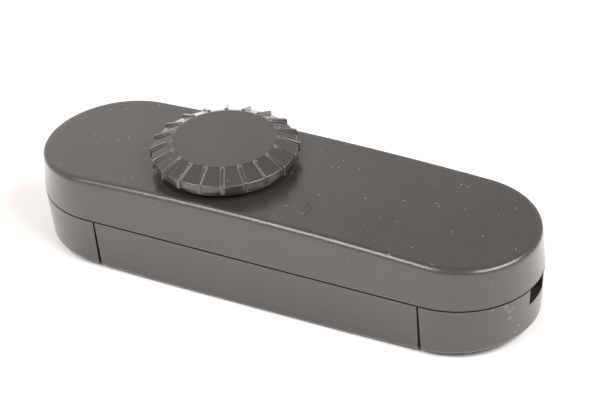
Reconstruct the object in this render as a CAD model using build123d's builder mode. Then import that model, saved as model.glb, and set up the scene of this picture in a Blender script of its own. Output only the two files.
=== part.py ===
from build123d import *
from math import asin, cos, degrees, radians, sin, sqrt, tan
import os

# Inline lamp dimmer with a press and turn knob. Millimetres, +Z up, +X towards the visible cord slot.
# The origin is on the surface that the dimmer stands on, under the middle of the casing.

os.makedirs("parts", exist_ok=True)

# Casing outline
half_straight = 40.7
end_radius = 18.0
parting_height = 12.8
crown_height = 24.0
crown_fall = 2.1
belly_rise = 2.1
landing_half = 12.0
cover_draft = 2.5
base_draft = 4.0
edge_radius = 1.0

# Casing walls and joints
wall = 2.2
lip_thickness = 0.95
lip_height = 1.5
slip_gap = 0.1
shadow_gap = 0.4
seam_gap = 0.45
seam_draft = 1.5
seam_lap = 1.5
left_cover_length = 20.3
right_cover_length = 19.3
partition_thickness = 1.5

# Cord way: a slot for flat two core flex, a saddle over it and a clamp bar under it
slot_width = 6.84
slot_depth = 4.1
saddle_thickness = 2.0
clamp_inset = 7.7
clamp_screw_spread = 6.2
clamp_width = 5.0
clamp_thickness = 2.6
clamp_rib = 1.0

# Casing screws, bosses and posts
shank_radius = 1.4
head_radius = 2.6
head_height = 1.6
head_play = 0.3
shank_play = 0.2
thread_play = 0.05
tip_play = 1.2
slim_head_radius = 2.3
slim_head_height = 1.4
recess_width = 0.7
recess_depth = 0.9
recess_share = 1.3
boss_radius = 2.8
slim_boss_radius = 2.5
post_radius = 3.3
post_height = 7.0
seat_thickness = 2.6
thread_length = 8.0
end_screw_reach = 4.3
end_screw_inset = 6.6
base_screw_inset = 7.0

# Circuit board
board_drop = 5.0
board_thickness = 1.6
board_gap = 0.4
board_screw_edge = 3.5
board_screw_reaches = (7.4, 0.6)
board_screw_length = 3.2
floor_gap = 1.5

# Knob
knob_offset = -14.3
knob_float = 0.9
disc_radius = 11.5
rim_radius = 15.8
ring_radius = 15.6
ring_taper = 0.5
ring_height = 1.16
rim_height = 1.6
skirt_height = 2.1
knob_wall = 1.6
shaft_cover = 1.1
rib_count = 20
rib_start_angle = 8.8
rib_width = 0.95
rib_stand = 0.45
rib_rim_stand = 0.5
rib_tip_rise = 0.5
rib_round = 0.22
knob_edge_round = 0.2
hub_radius = 4.6
press_travel = 0.5
turn_range = 280.0

# Control shaft
shaft_radius = 3.0
shaft_flat = 1.2
collar_radius = 3.4
collar_height = 1.1
drive_radius = 2.4
drive_flat = 0.8
running_gap = 0.05
moving_gap = 0.3
knob_fit = 0.02

# Rotary control and push switch, stacked under the board
control_radius = 8.5
control_shell = 0.7
control_roof = 1.5
control_depth = 6.5
bush_wall = 0.45
bush_play = 0.2
hub_play = 0.2
track_thickness = 0.8
lid_thickness = 0.8
rotor_radius = 6.7
rotor_thickness = 0.9
rotor_hub_radius = 4.0
stop_depth = 0.8
stop_play = 1.0
stop_centre = 180.0
lug_width = 1.5
brush_thickness = 0.2
brush_inner = 4.4
brush_outer = 6.4
finger_width = 1.2
contact_gap = 0.03
switch_depth = 4.0
switch_floor = 1.2
switch_cavity_radius = 5.0
plunger_stem_radius = 2.0
plunger_flange_height = 1.4
dome_height = 1.1
dome_radius = 4.4
dome_thickness = 0.2

# Leads and pins
lead_radius = 0.4
lead_play = 0.1
lead_tail = 1.2
pin_thickness = 0.4
pin_width = 1.0
pin_hole_radius = 0.65
pin_spacing = 5.0
pin_block_depth = 1.7
pin_block_width = 12.0
switch_pin_spacing = 5.0
switch_block_width = 8.0

# Terminal blocks
block_gap = 1.2
block_depth = 7.0
block_half_width = 5.2
block_height = 10.0
pole_spacing = 5.2
cage_width = 3.6
cage_height = 5.6
cage_length = 4.6
cage_wall = 0.45
cage_floor = 1.3
terminal_screw_radius = 1.25
terminal_head_radius = 1.8
terminal_head_height = 1.3
screw_reach = 1.0
block_play = 0.2

# Fuse and its clips, lying lengthwise near the front wall
fuse_reach = 20.4
fuse_edge = 3.7
fuse_drop = 4.0
fuse_length = 20.0
fuse_cap_radius = 2.6
fuse_cap_length = 5.5
fuse_tube_radius = 2.3
fuse_glass = 0.4
clip_metal = 0.45
clip_length = 4.5
clip_mouth = 3.6
clip_stem = 2.0

# Parts under the board. A reach is the way from the nearer casing screw towards the middle,
# an edge is the way in from the long edge of the board, and a side is the way from the middle line.
film_reach = 26.9
film_edge = 4.1
film_length = 13.0
film_width = 6.0
film_height = 12.0
film_pitch = 10.0
film_corner_radius = 0.5
choke_reach = 12.4
choke_side = 6.2
choke_radius = 6.8
choke_height = 10.0
choke_flange = 1.5
choke_core_radius = 3.0
winding_radius = 6.2
choke_pitch = 5.0
can_reach = 5.2
can_side = 7.0
can_radius = 4.0
can_height = 12.0
can_groove = 0.35
can_pitch = 3.5
varistor_reach = 0.4
varistor_edge = 3.6
varistor_radius = 4.0
varistor_thickness = 3.4
varistor_drop = 4.6
varistor_pitch = 5.0
resistor_gap = 3.4
resistor_sides = (1.4, 4.8)
resistor_length = 6.5
resistor_radius = 1.2
resistor_neck = 1.4
chip_reach = 0.4
chip_gap = 1.0
chip_width = 6.4
chip_length = 9.6
chip_height = 3.3
chip_pitch = 2.54
chip_legs_a_side = 4
leg_thickness = 0.3
leg_width = 0.6
sink_reach = 21.4
sink_side = 5.6
sink_length = 18.0
sink_thickness = 1.5
transistor_offset = -1.2
transistor_width = 7.6
transistor_thickness = 2.6
transistor_height = 10.8
transistor_hole_rise = 3.6
transistor_pitch = 2.28

# Worked out from the values above
half_length = half_straight + end_radius
skin = wall - lip_thickness - slip_gap
cover_rim = parting_height + shadow_gap / 2
base_rim = parting_height - shadow_gap / 2
slot_floor = parting_height - slot_depth
seams = {-1: half_length - left_cover_length, 1: half_length - right_cover_length}
board_top = crown_height - board_drop
board_bottom = board_top - board_thickness
board_half_width = end_radius - wall - (board_top - parting_height) * tan(radians(cover_draft)) - board_gap
seat_height = post_height - seat_thickness
end_screw_x = half_straight + end_screw_reach
end_screw_spread = end_radius - end_screw_inset
clamp_x = half_length - clamp_inset
block_front = clamp_x - clamp_width / 2 - block_gap
end_screw_spots = [
    (side * end_screw_x, y) for side in (-1, 1) for y in (-end_screw_spread, end_screw_spread)
]
left_screw_x = base_screw_inset - seams[-1]
right_screw_x = seams[1] - base_screw_inset
base_screw_spots = [(left_screw_x, 0), (right_screw_x, 0)]
clamp_screw_spots = [
    (side * clamp_x, y) for side in (-1, 1) for y in (-clamp_screw_spread, clamp_screw_spread)
]
board_screw_y = board_half_width - board_screw_edge
board_screw_spots = [
    (left_screw_x + board_screw_reaches[0], board_screw_y),
    (right_screw_x + board_screw_reaches[1], board_screw_y),
]

# Where each part hangs under the board
film_spot = (right_screw_x - film_reach, board_half_width - film_edge)
choke_spot = (right_screw_x - choke_reach, choke_side)
can_spot = (right_screw_x - can_reach, -can_side)
fuse_spot = (right_screw_x - fuse_reach, fuse_edge - board_half_width)
sink_spot = (right_screw_x - sink_reach, -sink_side)
varistor_spot = (left_screw_x + varistor_reach, varistor_edge - board_half_width)
chip_spot = (left_screw_x + chip_reach, boss_radius + chip_gap + chip_length / 2)
resistor_reach = resistor_length / 2 + resistor_neck
resistor_x = knob_offset + control_radius + pin_block_depth + resistor_gap + resistor_reach
resistor_spots = [(resistor_x, y) for y in resistor_sides]
sink_height = board_bottom - wall - floor_gap
transistor_leads = sink_height - transistor_height


def arc_drop(span, drop, x):
    """How far an arc that falls by drop over span has fallen at x."""
    radius = (span**2 + drop**2) / (2 * drop)
    return radius - sqrt(radius**2 - x**2)


def crown_at(x):
    """Height of the top of the cover above a point on the middle line."""
    return crown_height - arc_drop(half_length, crown_fall, x)


def belly_at(x):
    """Height of the underside over a point on the middle line."""
    return arc_drop(half_length - landing_half, belly_rise, max(abs(x) - landing_half, 0))


def cover_form(inset, bottom):
    """Crowned and drafted block inside the cover's outline, drawn in by inset, from bottom up."""
    spread = (bottom - parting_height) * tan(radians(cover_draft))
    with BuildPart() as form:
        with BuildSketch(Plane.XY.offset(bottom)):
            SlotCenterToCenter(2 * half_straight, 2 * (end_radius - inset - spread))
        extrude(amount=crown_height - bottom, taper=cover_draft)
        with BuildSketch(Plane.XZ):
            with BuildLine():
                low = crown_height - crown_fall - inset
                ThreePointArc((-half_length, low), (0, crown_height - inset), (half_length, low))
                high = crown_height + wall
                Polyline(
                    (half_length, low), (half_length, high), (-half_length, high), (-half_length, low)
                )
            make_face()
        extrude(amount=2 * end_radius, both=True, mode=Mode.SUBTRACT)
    return form.part


def base_form(inset, top):
    """Bellied and drafted block inside the base's outline, drawn in by inset, from top down."""
    spread = (parting_height - top) * tan(radians(base_draft))
    with BuildPart() as form:
        with BuildSketch(Plane.XY.offset(top)):
            SlotCenterToCenter(2 * half_straight, 2 * (end_radius - inset - spread))
        extrude(amount=-top, taper=base_draft)
        with BuildSketch(Plane.XZ):
            with BuildLine():
                high = belly_rise + inset
                Line((-landing_half, inset), (landing_half, inset))
                TangentArc((landing_half, inset), (half_length, high), tangent=(1, 0))
                Polyline(
                    (half_length, high), (half_length, -wall), (-half_length, -wall), (-half_length, high)
                )
                TangentArc((-landing_half, inset), (-half_length, high), tangent=(-1, 0))
            make_face()
        extrude(amount=2 * end_radius, both=True, mode=Mode.SUBTRACT)
    return form.part


def slab(low_x, high_x, low_z, high_z):
    """Block right across the casing between two lengthwise places and two heights."""
    with BuildPart() as block:
        with BuildSketch(Plane.XZ):
            with Locations(((low_x + high_x) / 2, (low_z + high_z) / 2)):
                Rectangle(high_x - low_x, high_z - low_z)
        extrude(amount=2 * end_radius, both=True)
    return block.part


def lip_ring():
    """Ring that stands on the base's rim and enters the cover."""
    bottom = base_rim - lip_thickness
    with BuildPart() as ring:
        with BuildSketch(Plane.XY.offset(bottom)):
            SlotCenterToCenter(2 * half_straight, 2 * (end_radius - skin - slip_gap))
            SlotCenterToCenter(2 * half_straight, 2 * (end_radius - wall), mode=Mode.SUBTRACT)
        extrude(amount=parting_height + lip_height - bottom)
    return ring.part


def rounded_base():
    """Outer form of the whole underside with its lower edge rounded."""
    with BuildPart() as form:
        add(base_form(0, base_rim))
        undersides = [face for face in form.faces() if face.normal_at().Z < -0.9]
        cross_edges = form.edges().filter_by(Axis.Y)
        fillet([e for face in undersides for e in face.edges() if e not in cross_edges], edge_radius)
    return form.part


def screw(spots, head_z, length, shank, head, height):
    """Group of cross recessed screws whose heads lie under head_z and whose shanks stand up from it."""
    with BuildPart() as group:
        with BuildSketch(Plane.XY.offset(head_z - height)):
            with Locations(*spots):
                Circle(head)
        extrude(amount=height)
        with BuildSketch(Plane.XY.offset(head_z)):
            with Locations(*spots):
                Circle(shank)
        extrude(amount=length)
        with BuildSketch(Plane.XY.offset(head_z - height)):
            with Locations(*spots):
                Rectangle(recess_share * head, recess_width)
                Rectangle(recess_width, recess_share * head)
        extrude(amount=recess_depth, mode=Mode.SUBTRACT)
    return group.part


outer_base = rounded_base()
base_cavity = base_form(wall, parting_height + lip_height)
rim_ring = lip_ring()
inner_skin = base_form(skin, base_rim)
lap_skin = base_form(skin + slip_gap, base_rim)


def screw_posts(spots):
    """Posts that stand on the floor of the underside and meet the cover's bosses."""
    with BuildPart() as posts:
        for x, y in spots:
            bottom = belly_at(x) + wall / 2
            with BuildSketch(Plane.XY.offset(bottom)):
                with Locations((x, y)):
                    Circle(post_radius)
            extrude(amount=post_height - bottom)
    return posts.part


def screw_ways(spots):
    """What is cut from the underside for its screws: a wide way for the head, then a narrow one."""
    with BuildPart() as ways:
        with BuildSketch(Plane.XY):
            with Locations(*spots):
                Circle(head_radius + head_play)
        extrude(amount=seat_height)
        with BuildSketch(Plane.XY.offset(seat_height)):
            with Locations(*spots):
                Circle(shank_radius + shank_play)
        extrude(amount=seat_thickness)
    return ways.part


def seam_lap_skin():
    """Inner skin and lip of the middle part, long enough to run under both end covers."""
    with BuildPart() as lap:
        add(lap_skin)
        add(rim_ring)
        add(slab(-seams[-1] - seam_lap, seams[1] + seam_lap, 0, crown_height), mode=Mode.INTERSECT)
    return lap.part


# Top cover: a crowned shell with a rebate round its rim, cord saddles and screw bosses
with BuildPart() as top_cover:
    add(cover_form(0, cover_rim))
    fillet(top_cover.faces().sort_by(Axis.Z)[-1].edges(), edge_radius)
    add(cover_form(wall, cover_rim), mode=Mode.SUBTRACT)
    with BuildSketch(Plane.XY.offset(cover_rim)):
        SlotCenterToCenter(2 * half_straight, 2 * (end_radius - skin))
    extrude(amount=parting_height + lip_height - cover_rim, mode=Mode.SUBTRACT)
    bosses = [(spot, post_height, boss_radius) for spot in end_screw_spots + base_screw_spots]
    bosses += [(spot, slot_floor, slim_boss_radius) for spot in clamp_screw_spots]
    bosses += [(spot, board_top, slim_boss_radius) for spot in board_screw_spots]
    for (x, y), bottom, radius in bosses:
        with BuildSketch(Plane.XY.offset(bottom)):
            with Locations((x, y)):
                Circle(radius)
        extrude(amount=crown_at(x) - wall / 2 - bottom)
    for side in (-1, 1):
        with BuildSketch(Plane.XY.offset(cover_rim)):
            with Locations((side * clamp_x, 0)):
                Rectangle(saddle_thickness, 2 * clamp_screw_spread)
        extrude(amount=crown_at(clamp_x) - wall / 2 - cover_rim)
    for (x, y), bottom, radius in bosses:
        with BuildSketch(Plane.XY.offset(bottom)):
            with Locations((x, y)):
                Circle(shank_radius + thread_play)
        extrude(amount=min(thread_length, crown_at(x) - wall / 2 - bottom), mode=Mode.SUBTRACT)
    with BuildSketch(Plane.XY.offset(board_top)):
        with Locations((knob_offset, 0)):
            Circle(shaft_radius + running_gap + bush_wall + bush_play)
    extrude(amount=board_drop + wall, mode=Mode.SUBTRACT)
top_cover.part.label = "top_cover"
export_step(top_cover.part, "parts/top_cover.step")

# Middle part of the underside: leaning ends, a lap that runs under both end covers, and cross walls
with BuildPart() as base_centre:
    add(outer_base)
    with BuildSketch(Plane.XZ):
        lean = base_rim * tan(radians(seam_draft))
        left = -seams[-1] + seam_gap / 2
        right = seams[1] - seam_gap / 2
        with BuildLine():
            Polyline((left, base_rim), (right, base_rim), (right - lean, 0), (left + lean, 0), close=True)
        make_face()
    extrude(amount=2 * end_radius, both=True, mode=Mode.INTERSECT)
    add(seam_lap_skin())
    add(base_cavity, mode=Mode.SUBTRACT)
    for side in (-1, 1):
        floor = belly_at(seams[side]) + wall / 2
        with BuildSketch(Plane.XY.offset(floor)):
            with Locations((side * (seams[side] - partition_thickness), 0)):
                Rectangle(partition_thickness, 2 * board_half_width)
        extrude(amount=board_bottom - board_gap - floor)
    add(screw_posts(base_screw_spots))
    add(screw_ways(base_screw_spots), mode=Mode.SUBTRACT)
base_centre.part.label = "base_centre"
export_step(base_centre.part, "parts/base_centre.step")


def terminal_cover(side):
    """Round end cover of the underside with its cord slot, on the left (-1) or the right (1)."""
    outer_start = side * (seams[side] + seam_gap / 2)
    lap_end = side * (seams[side] + seam_lap + slip_gap)
    far_end = side * (half_length + wall)
    spots = [(x, y) for x, y in end_screw_spots if x * side > 0]
    with BuildPart() as lip:
        add(rim_ring)
        add(slab(*sorted((lap_end, far_end)), 0, crown_height), mode=Mode.INTERSECT)
    with BuildPart() as rebate:
        add(inner_skin)
        add(slab(*sorted((0, lap_end)), 0, crown_height), mode=Mode.INTERSECT)
    with BuildPart() as cover:
        add(outer_base)
        add(slab(*sorted((outer_start, far_end)), 0, crown_height), mode=Mode.INTERSECT)
        add(rebate.part, mode=Mode.SUBTRACT)
        add(lip.part)
        add(base_cavity, mode=Mode.SUBTRACT)
        add(screw_posts(spots))
        add(screw_ways(spots), mode=Mode.SUBTRACT)
        with BuildSketch(Plane.XY.offset(slot_floor)):
            with Locations((side * half_length, 0)):
                Rectangle(4 * wall, slot_width)
        extrude(amount=slot_depth + lip_height + wall, mode=Mode.SUBTRACT)
    return cover.part


def cord_clamp(side):
    """Round ended bar that two screws draw up against the cord, on the left (-1) or the right (1)."""
    spots = [(x, y) for x, y in clamp_screw_spots if x * side > 0]
    with BuildPart() as clamp:
        with BuildSketch(Plane.XY.offset(slot_floor - clamp_thickness)):
            with Locations((side * clamp_x, 0)):
                SlotCenterToCenter(2 * clamp_screw_spread, clamp_width, rotation=90)
            with Locations(*spots):
                Circle(shank_radius + shank_play, mode=Mode.SUBTRACT)
        extrude(amount=clamp_thickness)
        with BuildSketch(Plane.XY.offset(slot_floor - clamp_thickness)):
            with Locations((side * clamp_x, 0)):
                Rectangle(clamp_width - 2 * clamp_rib, slot_width)
        extrude(amount=clamp_thickness - clamp_rib, mode=Mode.SUBTRACT)
    return clamp.part


for side, name in ((-1, "left"), (1, "right")):
    end_cover = terminal_cover(side)
    end_cover.label = f"terminal_cover_{name}"
    export_step(end_cover, f"parts/terminal_cover_{name}.step")
    bar = cord_clamp(side)
    bar.label = f"cord_clamp_{name}"
    export_step(bar, f"parts/cord_clamp_{name}.step")

# Screws of the casing, the cord clamps and the board, each kind one group
screw_length = seat_thickness + thread_length - tip_play
terminal_cover_screws = screw(
    end_screw_spots, seat_height, screw_length, shank_radius, head_radius, head_height
)
terminal_cover_screws.label = "terminal_cover_screws"
export_step(terminal_cover_screws, "parts/terminal_cover_screws.step")
base_screws = screw(base_screw_spots, seat_height, screw_length, shank_radius, head_radius, head_height)
base_screws.label = "base_screws"
export_step(base_screws, "parts/base_screws.step")
clamp_seat = slot_floor - clamp_thickness
clamp_screw_length = clamp_thickness + thread_length - tip_play
cord_clamp_screws = screw(
    clamp_screw_spots, clamp_seat, clamp_screw_length, shank_radius, slim_head_radius, slim_head_height
)
cord_clamp_screws.label = "cord_clamp_screws"
export_step(cord_clamp_screws, "parts/cord_clamp_screws.step")
board_screws = screw(
    board_screw_spots, board_bottom, board_screw_length, shank_radius, slim_head_radius, slim_head_height
)
board_screws.label = "board_screws"
export_step(board_screws, "parts/board_screws.step")

# Heights of the knob from its lower ring up, and the planes through its axis
ring_bottom = crown_height + knob_float
ring_top = ring_bottom + ring_height
rim_top = ring_top + rim_height
knob_top = rim_top + skirt_height
skirt_slope = skirt_height / (rim_radius - disc_radius)
disc_underside = knob_top - knob_wall
shaft_top = knob_top - shaft_cover
knob_axis = Axis((knob_offset, 0, 0), (0, 0, 1))
knob_section = Plane(origin=(knob_offset, 0, 0), x_dir=(1, 0, 0), z_dir=(0, -1, 0))


def knob_plan(height):
    """Level plane at a height, centred on the knob's axis."""
    return Plane((knob_offset, 0, height))


def flatted_rod(radius, flat, bottom, top):
    """Round rod on the knob's axis with one flat that lies flat deep in its side."""
    with BuildPart() as rod:
        with BuildSketch(knob_plan(bottom)):
            Circle(radius)
            with Locations((radius, 0)):
                Rectangle(2 * flat, 2 * radius, mode=Mode.SUBTRACT)
        extrude(amount=top - bottom)
    return rod.part


# One rib of the knob: it starts level with the disc, bends down along the skirt and ends under the rim
with BuildPart() as rib:
    with BuildSketch(knob_section):
        root = disc_radius - rib_width / 2
        bend = disc_radius + rib_stand / skirt_slope
        tip = rim_radius + rib_rim_stand
        tip_top = rim_top + rib_tip_rise
        inner = rim_radius - knob_wall / 2
        with BuildLine():
            Polyline(
                (root, knob_top),
                (bend, knob_top),
                (tip, tip_top),
                (tip, ring_top),
                (inner, ring_top),
                (inner, rim_top - knob_wall / 2),
                (root, knob_top - knob_wall / 2),
                close=True,
            )
        make_face()
    extrude(amount=rib_width / 2, both=True)
    outer_faces = [f for f in rib.faces() if f.normal_at().X > 0.1 and abs(f.normal_at().Y) < 0.1]
    long_edges = [e for f in outer_faces for e in f.edges() if abs(e.center().Y) > rib_width / 3]
    fillet(long_edges, rib_round)

# Knob: a flat disc, a conical skirt, a ribbed rim and a smooth lower ring that draws in, with a hub inside
with BuildPart() as knob:
    with BuildSketch(knob_section) as knob_profile:
        with BuildLine():
            Polyline(
                (0, knob_top),
                (disc_radius, knob_top),
                (rim_radius, rim_top),
                (rim_radius, ring_top),
                (ring_radius, ring_top),
                (ring_radius - ring_taper, ring_bottom),
                (ring_radius - knob_wall, ring_bottom),
                (ring_radius - knob_wall, rim_top - knob_wall),
                (disc_radius - knob_wall / 2, disc_underside),
                (hub_radius, disc_underside),
                (hub_radius, ring_bottom + moving_gap),
                (0, ring_bottom + moving_gap),
                close=True,
            )
        make_face()
        disc_corner = knob_profile.vertices().group_by(Axis.Y)[-1].sort_by(Axis.X)[-1]
        rim_corner = knob_profile.vertices().group_by(Axis.X)[-1].sort_by(Axis.Y)[-1]
        fillet([disc_corner, rim_corner], knob_edge_round)
    revolve(axis=knob_axis)
    with Locations(Plane((knob_offset, 0, 0))):
        with PolarLocations(0, rib_count, start_angle=rib_start_angle):
            add(rib.part.moved(Location((-knob_offset, 0, 0))))
    bore = flatted_rod(shaft_radius + knob_fit, shaft_flat, ring_bottom, shaft_top + knob_fit)
    add(bore, mode=Mode.SUBTRACT)
knob.part.label = "knob"
export_step(knob.part, "parts/knob.step")

# Heights in the rotary control, from the board down
roof_bottom = board_bottom - control_roof
control_bottom = board_bottom - control_depth
track_bottom = roof_bottom - track_thickness
collar_top = roof_bottom - moving_gap
collar_bottom = collar_top - collar_height
rotor_top = collar_bottom - press_travel - slip_gap - slip_gap
rotor_bottom = rotor_top - rotor_thickness
lid_top = control_bottom + lid_thickness
stem_top = lid_top + press_travel
shell_radius = control_radius - control_shell
bush_radius = shaft_radius + running_gap + bush_wall
bush_top = crown_at(knob_offset) - moving_gap
lug_tip = shell_radius - stop_depth / 2
lug_half_angle = degrees(asin(lug_width / 2 / lug_tip))
stop_half_angle = (360 - turn_range) / 2 - 2 * lug_half_angle - stop_play
lug_angle = stop_centre - (360 - turn_range) / 2
finger_radius = (brush_inner + brush_outer) / 2
switch_bottom = control_bottom - switch_depth
dome_bottom = switch_bottom + switch_floor
flange_bottom = dome_bottom + dome_height + contact_gap
flange_top = flange_bottom + plunger_flange_height
pin_reach = control_radius + pin_block_depth + pin_thickness / 2


def section_at(angle):
    """Upright plane through the knob's axis, turned by an angle from +X."""
    along = (cos(radians(angle)), sin(radians(angle)), 0)
    across = (sin(radians(angle)), -cos(radians(angle)), 0)
    return Plane(origin=(knob_offset, 0, 0), x_dir=along, z_dir=across)


# Control shaft: the knob's seat with a flat, a round journal, a collar and a flatted drive end
with BuildPart() as control_shaft:
    add(flatted_rod(drive_radius, drive_flat, stem_top, collar_bottom))
    with BuildSketch(knob_plan(collar_bottom)):
        Circle(collar_radius)
    extrude(amount=collar_height)
    with BuildSketch(knob_plan(collar_top)):
        Circle(shaft_radius)
    extrude(amount=bush_top - collar_top)
    add(flatted_rod(shaft_radius, shaft_flat, bush_top, shaft_top))
control_shaft.part.label = "control_shaft"
export_step(control_shaft.part, "parts/control_shaft.step")

# Housing of the rotary control: a cup hung under the board with its bush up through the cover,
# a block that carries the pins, and a stop inside for the rotor's lug
with BuildPart() as potentiometer_housing:
    with BuildSketch(knob_plan(control_bottom)):
        Circle(control_radius)
        with Locations((control_radius, 0)):
            Rectangle(2 * pin_block_depth, pin_block_width)
    extrude(amount=control_depth)
    with BuildSketch(knob_plan(control_bottom)):
        Circle(shell_radius)
    extrude(amount=control_depth - control_roof, mode=Mode.SUBTRACT)
    with BuildSketch(knob_plan(board_bottom)):
        Circle(bush_radius)
    extrude(amount=bush_top - board_bottom)
    with BuildSketch(knob_plan(roof_bottom)):
        Circle(shaft_radius + running_gap)
    extrude(amount=bush_top - roof_bottom, mode=Mode.SUBTRACT)
    with BuildSketch(section_at(stop_centre - stop_half_angle)):
        with Locations((shell_radius - stop_depth / 2 + slip_gap / 2, (rotor_top + rotor_bottom) / 2)):
            Rectangle(stop_depth + slip_gap, rotor_thickness + 2 * moving_gap)
    revolve(axis=knob_axis, revolution_arc=2 * stop_half_angle)
potentiometer_housing.part.label = "potentiometer_housing"
export_step(potentiometer_housing.part, "parts/potentiometer_housing.step")

# Resistance track: a flat ring under the roof of the housing
with BuildPart() as resistance_track:
    with BuildSketch(knob_plan(track_bottom)):
        Circle(shell_radius - slip_gap)
        Circle(collar_radius + moving_gap, mode=Mode.SUBTRACT)
    extrude(amount=track_thickness)
resistance_track.part.label = "resistance_track"
export_step(resistance_track.part, "parts/resistance_track.step")

# Wiper rotor: a disc with a lug and a hub, which the flatted end of the shaft turns and slides in
with BuildPart() as wiper_rotor:
    with BuildSketch(knob_plan(rotor_bottom)):
        Circle(rotor_radius)
        with Locations(Location((0, 0), lug_angle)):
            with Locations((lug_tip / 2, 0)):
                Rectangle(lug_tip, lug_width)
    extrude(amount=rotor_thickness)
    with BuildSketch(knob_plan(lid_top + hub_play)):
        Circle(rotor_hub_radius)
    extrude(amount=rotor_bottom - lid_top - hub_play)
    add(flatted_rod(drive_radius + running_gap, drive_flat, lid_top, rotor_top), mode=Mode.SUBTRACT)
    with BuildSketch(knob_plan(lid_top)):
        Circle(drive_radius + moving_gap)
    extrude(amount=stem_top + moving_gap - lid_top, mode=Mode.SUBTRACT)
wiper_rotor.part.label = "wiper_rotor"
export_step(wiper_rotor.part, "parts/wiper_rotor.step")

# Wiper brush: a spring ring on the rotor with two fingers that reach the track
with BuildPart() as wiper_brush:
    with BuildSketch(knob_plan(rotor_top)):
        Circle(brush_outer)
        Circle(brush_inner, mode=Mode.SUBTRACT)
    extrude(amount=brush_thickness)
    with BuildSketch(knob_plan(rotor_top)):
        with PolarLocations(finger_radius, 2):
            Rectangle(brush_thickness, finger_width)
    extrude(amount=track_bottom - contact_gap - rotor_top)
wiper_brush.part.label = "wiper_brush"
export_step(wiper_brush.part, "parts/wiper_brush.step")

# Lid between the rotary control and the switch, with a hole for the plunger's stem
with BuildPart() as switch_lid:
    with BuildSketch(knob_plan(control_bottom)):
        Circle(shell_radius - slip_gap)
        Circle(plunger_stem_radius + moving_gap, mode=Mode.SUBTRACT)
    extrude(amount=lid_thickness)
switch_lid.part.label = "switch_lid"
export_step(switch_lid.part, "parts/switch_lid.step")

# Switch housing: a cup under the rotary control that holds the dome, with a block for its pins
with BuildPart() as switch_housing:
    with BuildSketch(knob_plan(switch_bottom)):
        Circle(control_radius)
        with Locations((-control_radius, 0)):
            Rectangle(2 * pin_block_depth, switch_block_width)
    extrude(amount=switch_depth)
    with BuildSketch(knob_plan(dome_bottom)):
        Circle(switch_cavity_radius)
    extrude(amount=switch_depth - switch_floor, mode=Mode.SUBTRACT)
switch_housing.part.label = "switch_housing"
export_step(switch_housing.part, "parts/switch_housing.step")

# Switch plunger: a flange over the dome and a stem that the end of the shaft presses
with BuildPart() as switch_plunger:
    with BuildSketch(knob_plan(flange_bottom)):
        Circle(switch_cavity_radius - moving_gap)
    extrude(amount=plunger_flange_height)
    with BuildSketch(knob_plan(flange_top)):
        Circle(plunger_stem_radius)
    extrude(amount=stem_top - flange_top)
switch_plunger.part.label = "switch_plunger"
export_step(switch_plunger.part, "parts/switch_plunger.step")

# Switch dome: a thin snap disc that closes the contact and lifts the plunger again
with BuildPart() as switch_dome:
    with BuildSketch(knob_section):
        with BuildLine():
            peak = dome_bottom + dome_height
            inside = dome_radius - dome_thickness
            ThreePointArc((-dome_radius, dome_bottom), (0, peak), (dome_radius, dome_bottom))
            Line((dome_radius, dome_bottom), (inside, dome_bottom))
            ThreePointArc((inside, dome_bottom), (0, peak - dome_thickness), (-inside, dome_bottom))
            Line((-inside, dome_bottom), (-dome_radius, dome_bottom))
        make_face()
        with Locations((-dome_radius, dome_bottom)):
            Rectangle(2 * dome_radius, 4 * dome_height, mode=Mode.SUBTRACT)
    revolve(axis=knob_axis)
switch_dome.part.label = "switch_dome"
export_step(switch_dome.part, "parts/switch_dome.step")

# Where pins, legs and leads go through the board
control_pin_spots = [(knob_offset + pin_reach, step * pin_spacing) for step in (-1, 0, 1)]
switch_pin_spots = [(knob_offset - pin_reach, step * switch_pin_spacing / 2) for step in (-1, 1)]
leg_spots = [
    (chip_spot[0] + side * (chip_width + leg_thickness) / 2, chip_spot[1] + step * chip_pitch)
    for side in (-1, 1)
    for step in [count - (chip_legs_a_side - 1) / 2 for count in range(chip_legs_a_side)]
]
transistor_x = sink_spot[0] + transistor_offset
transistor_y = sink_spot[1] + (sink_thickness + transistor_thickness) / 2
transistor_lead_spots = [(transistor_x + step * transistor_pitch, transistor_y) for step in (-1, 0, 1)]
pole_spots = [
    (side * (block_front - block_depth / 2), pole * pole_spacing / 2) for side in (-1, 1) for pole in (-1, 1)
]
straight_lead_spots = list(pole_spots)
straight_lead_spots += [(film_spot[0] + step * film_pitch / 2, film_spot[1]) for step in (-1, 1)]
straight_lead_spots += [(choke_spot[0] + step * choke_pitch / 2, choke_spot[1]) for step in (-1, 1)]
straight_lead_spots += [(can_spot[0], can_spot[1] + step * can_pitch / 2) for step in (-1, 1)]
straight_lead_spots += [(varistor_spot[0] + step * varistor_pitch / 2, varistor_spot[1]) for step in (-1, 1)]
clip_offset = (fuse_length - fuse_cap_length) / 2
clip_spots = [(fuse_spot[0] + step * clip_offset, fuse_spot[1]) for step in (-1, 1)]
bent_lead_spots = [(x + side * resistor_reach, y) for x, y in resistor_spots for side in (-1, 1)]
tail_top = board_top + lead_tail

# Pins of the rotary control and of the switch, each flat against its block
with BuildPart() as control_pins:
    with BuildSketch(Plane.XY.offset(control_bottom + pin_width)):
        with Locations(*control_pin_spots):
            Rectangle(pin_thickness, pin_width)
    extrude(amount=tail_top - control_bottom - pin_width)
    with BuildSketch(Plane.XY.offset(switch_bottom + pin_width)):
        with Locations(*switch_pin_spots):
            Rectangle(pin_thickness, pin_width)
    extrude(amount=tail_top - switch_bottom - pin_width)
control_pins.part.label = "control_pins"
export_step(control_pins.part, "parts/control_pins.step")

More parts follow.
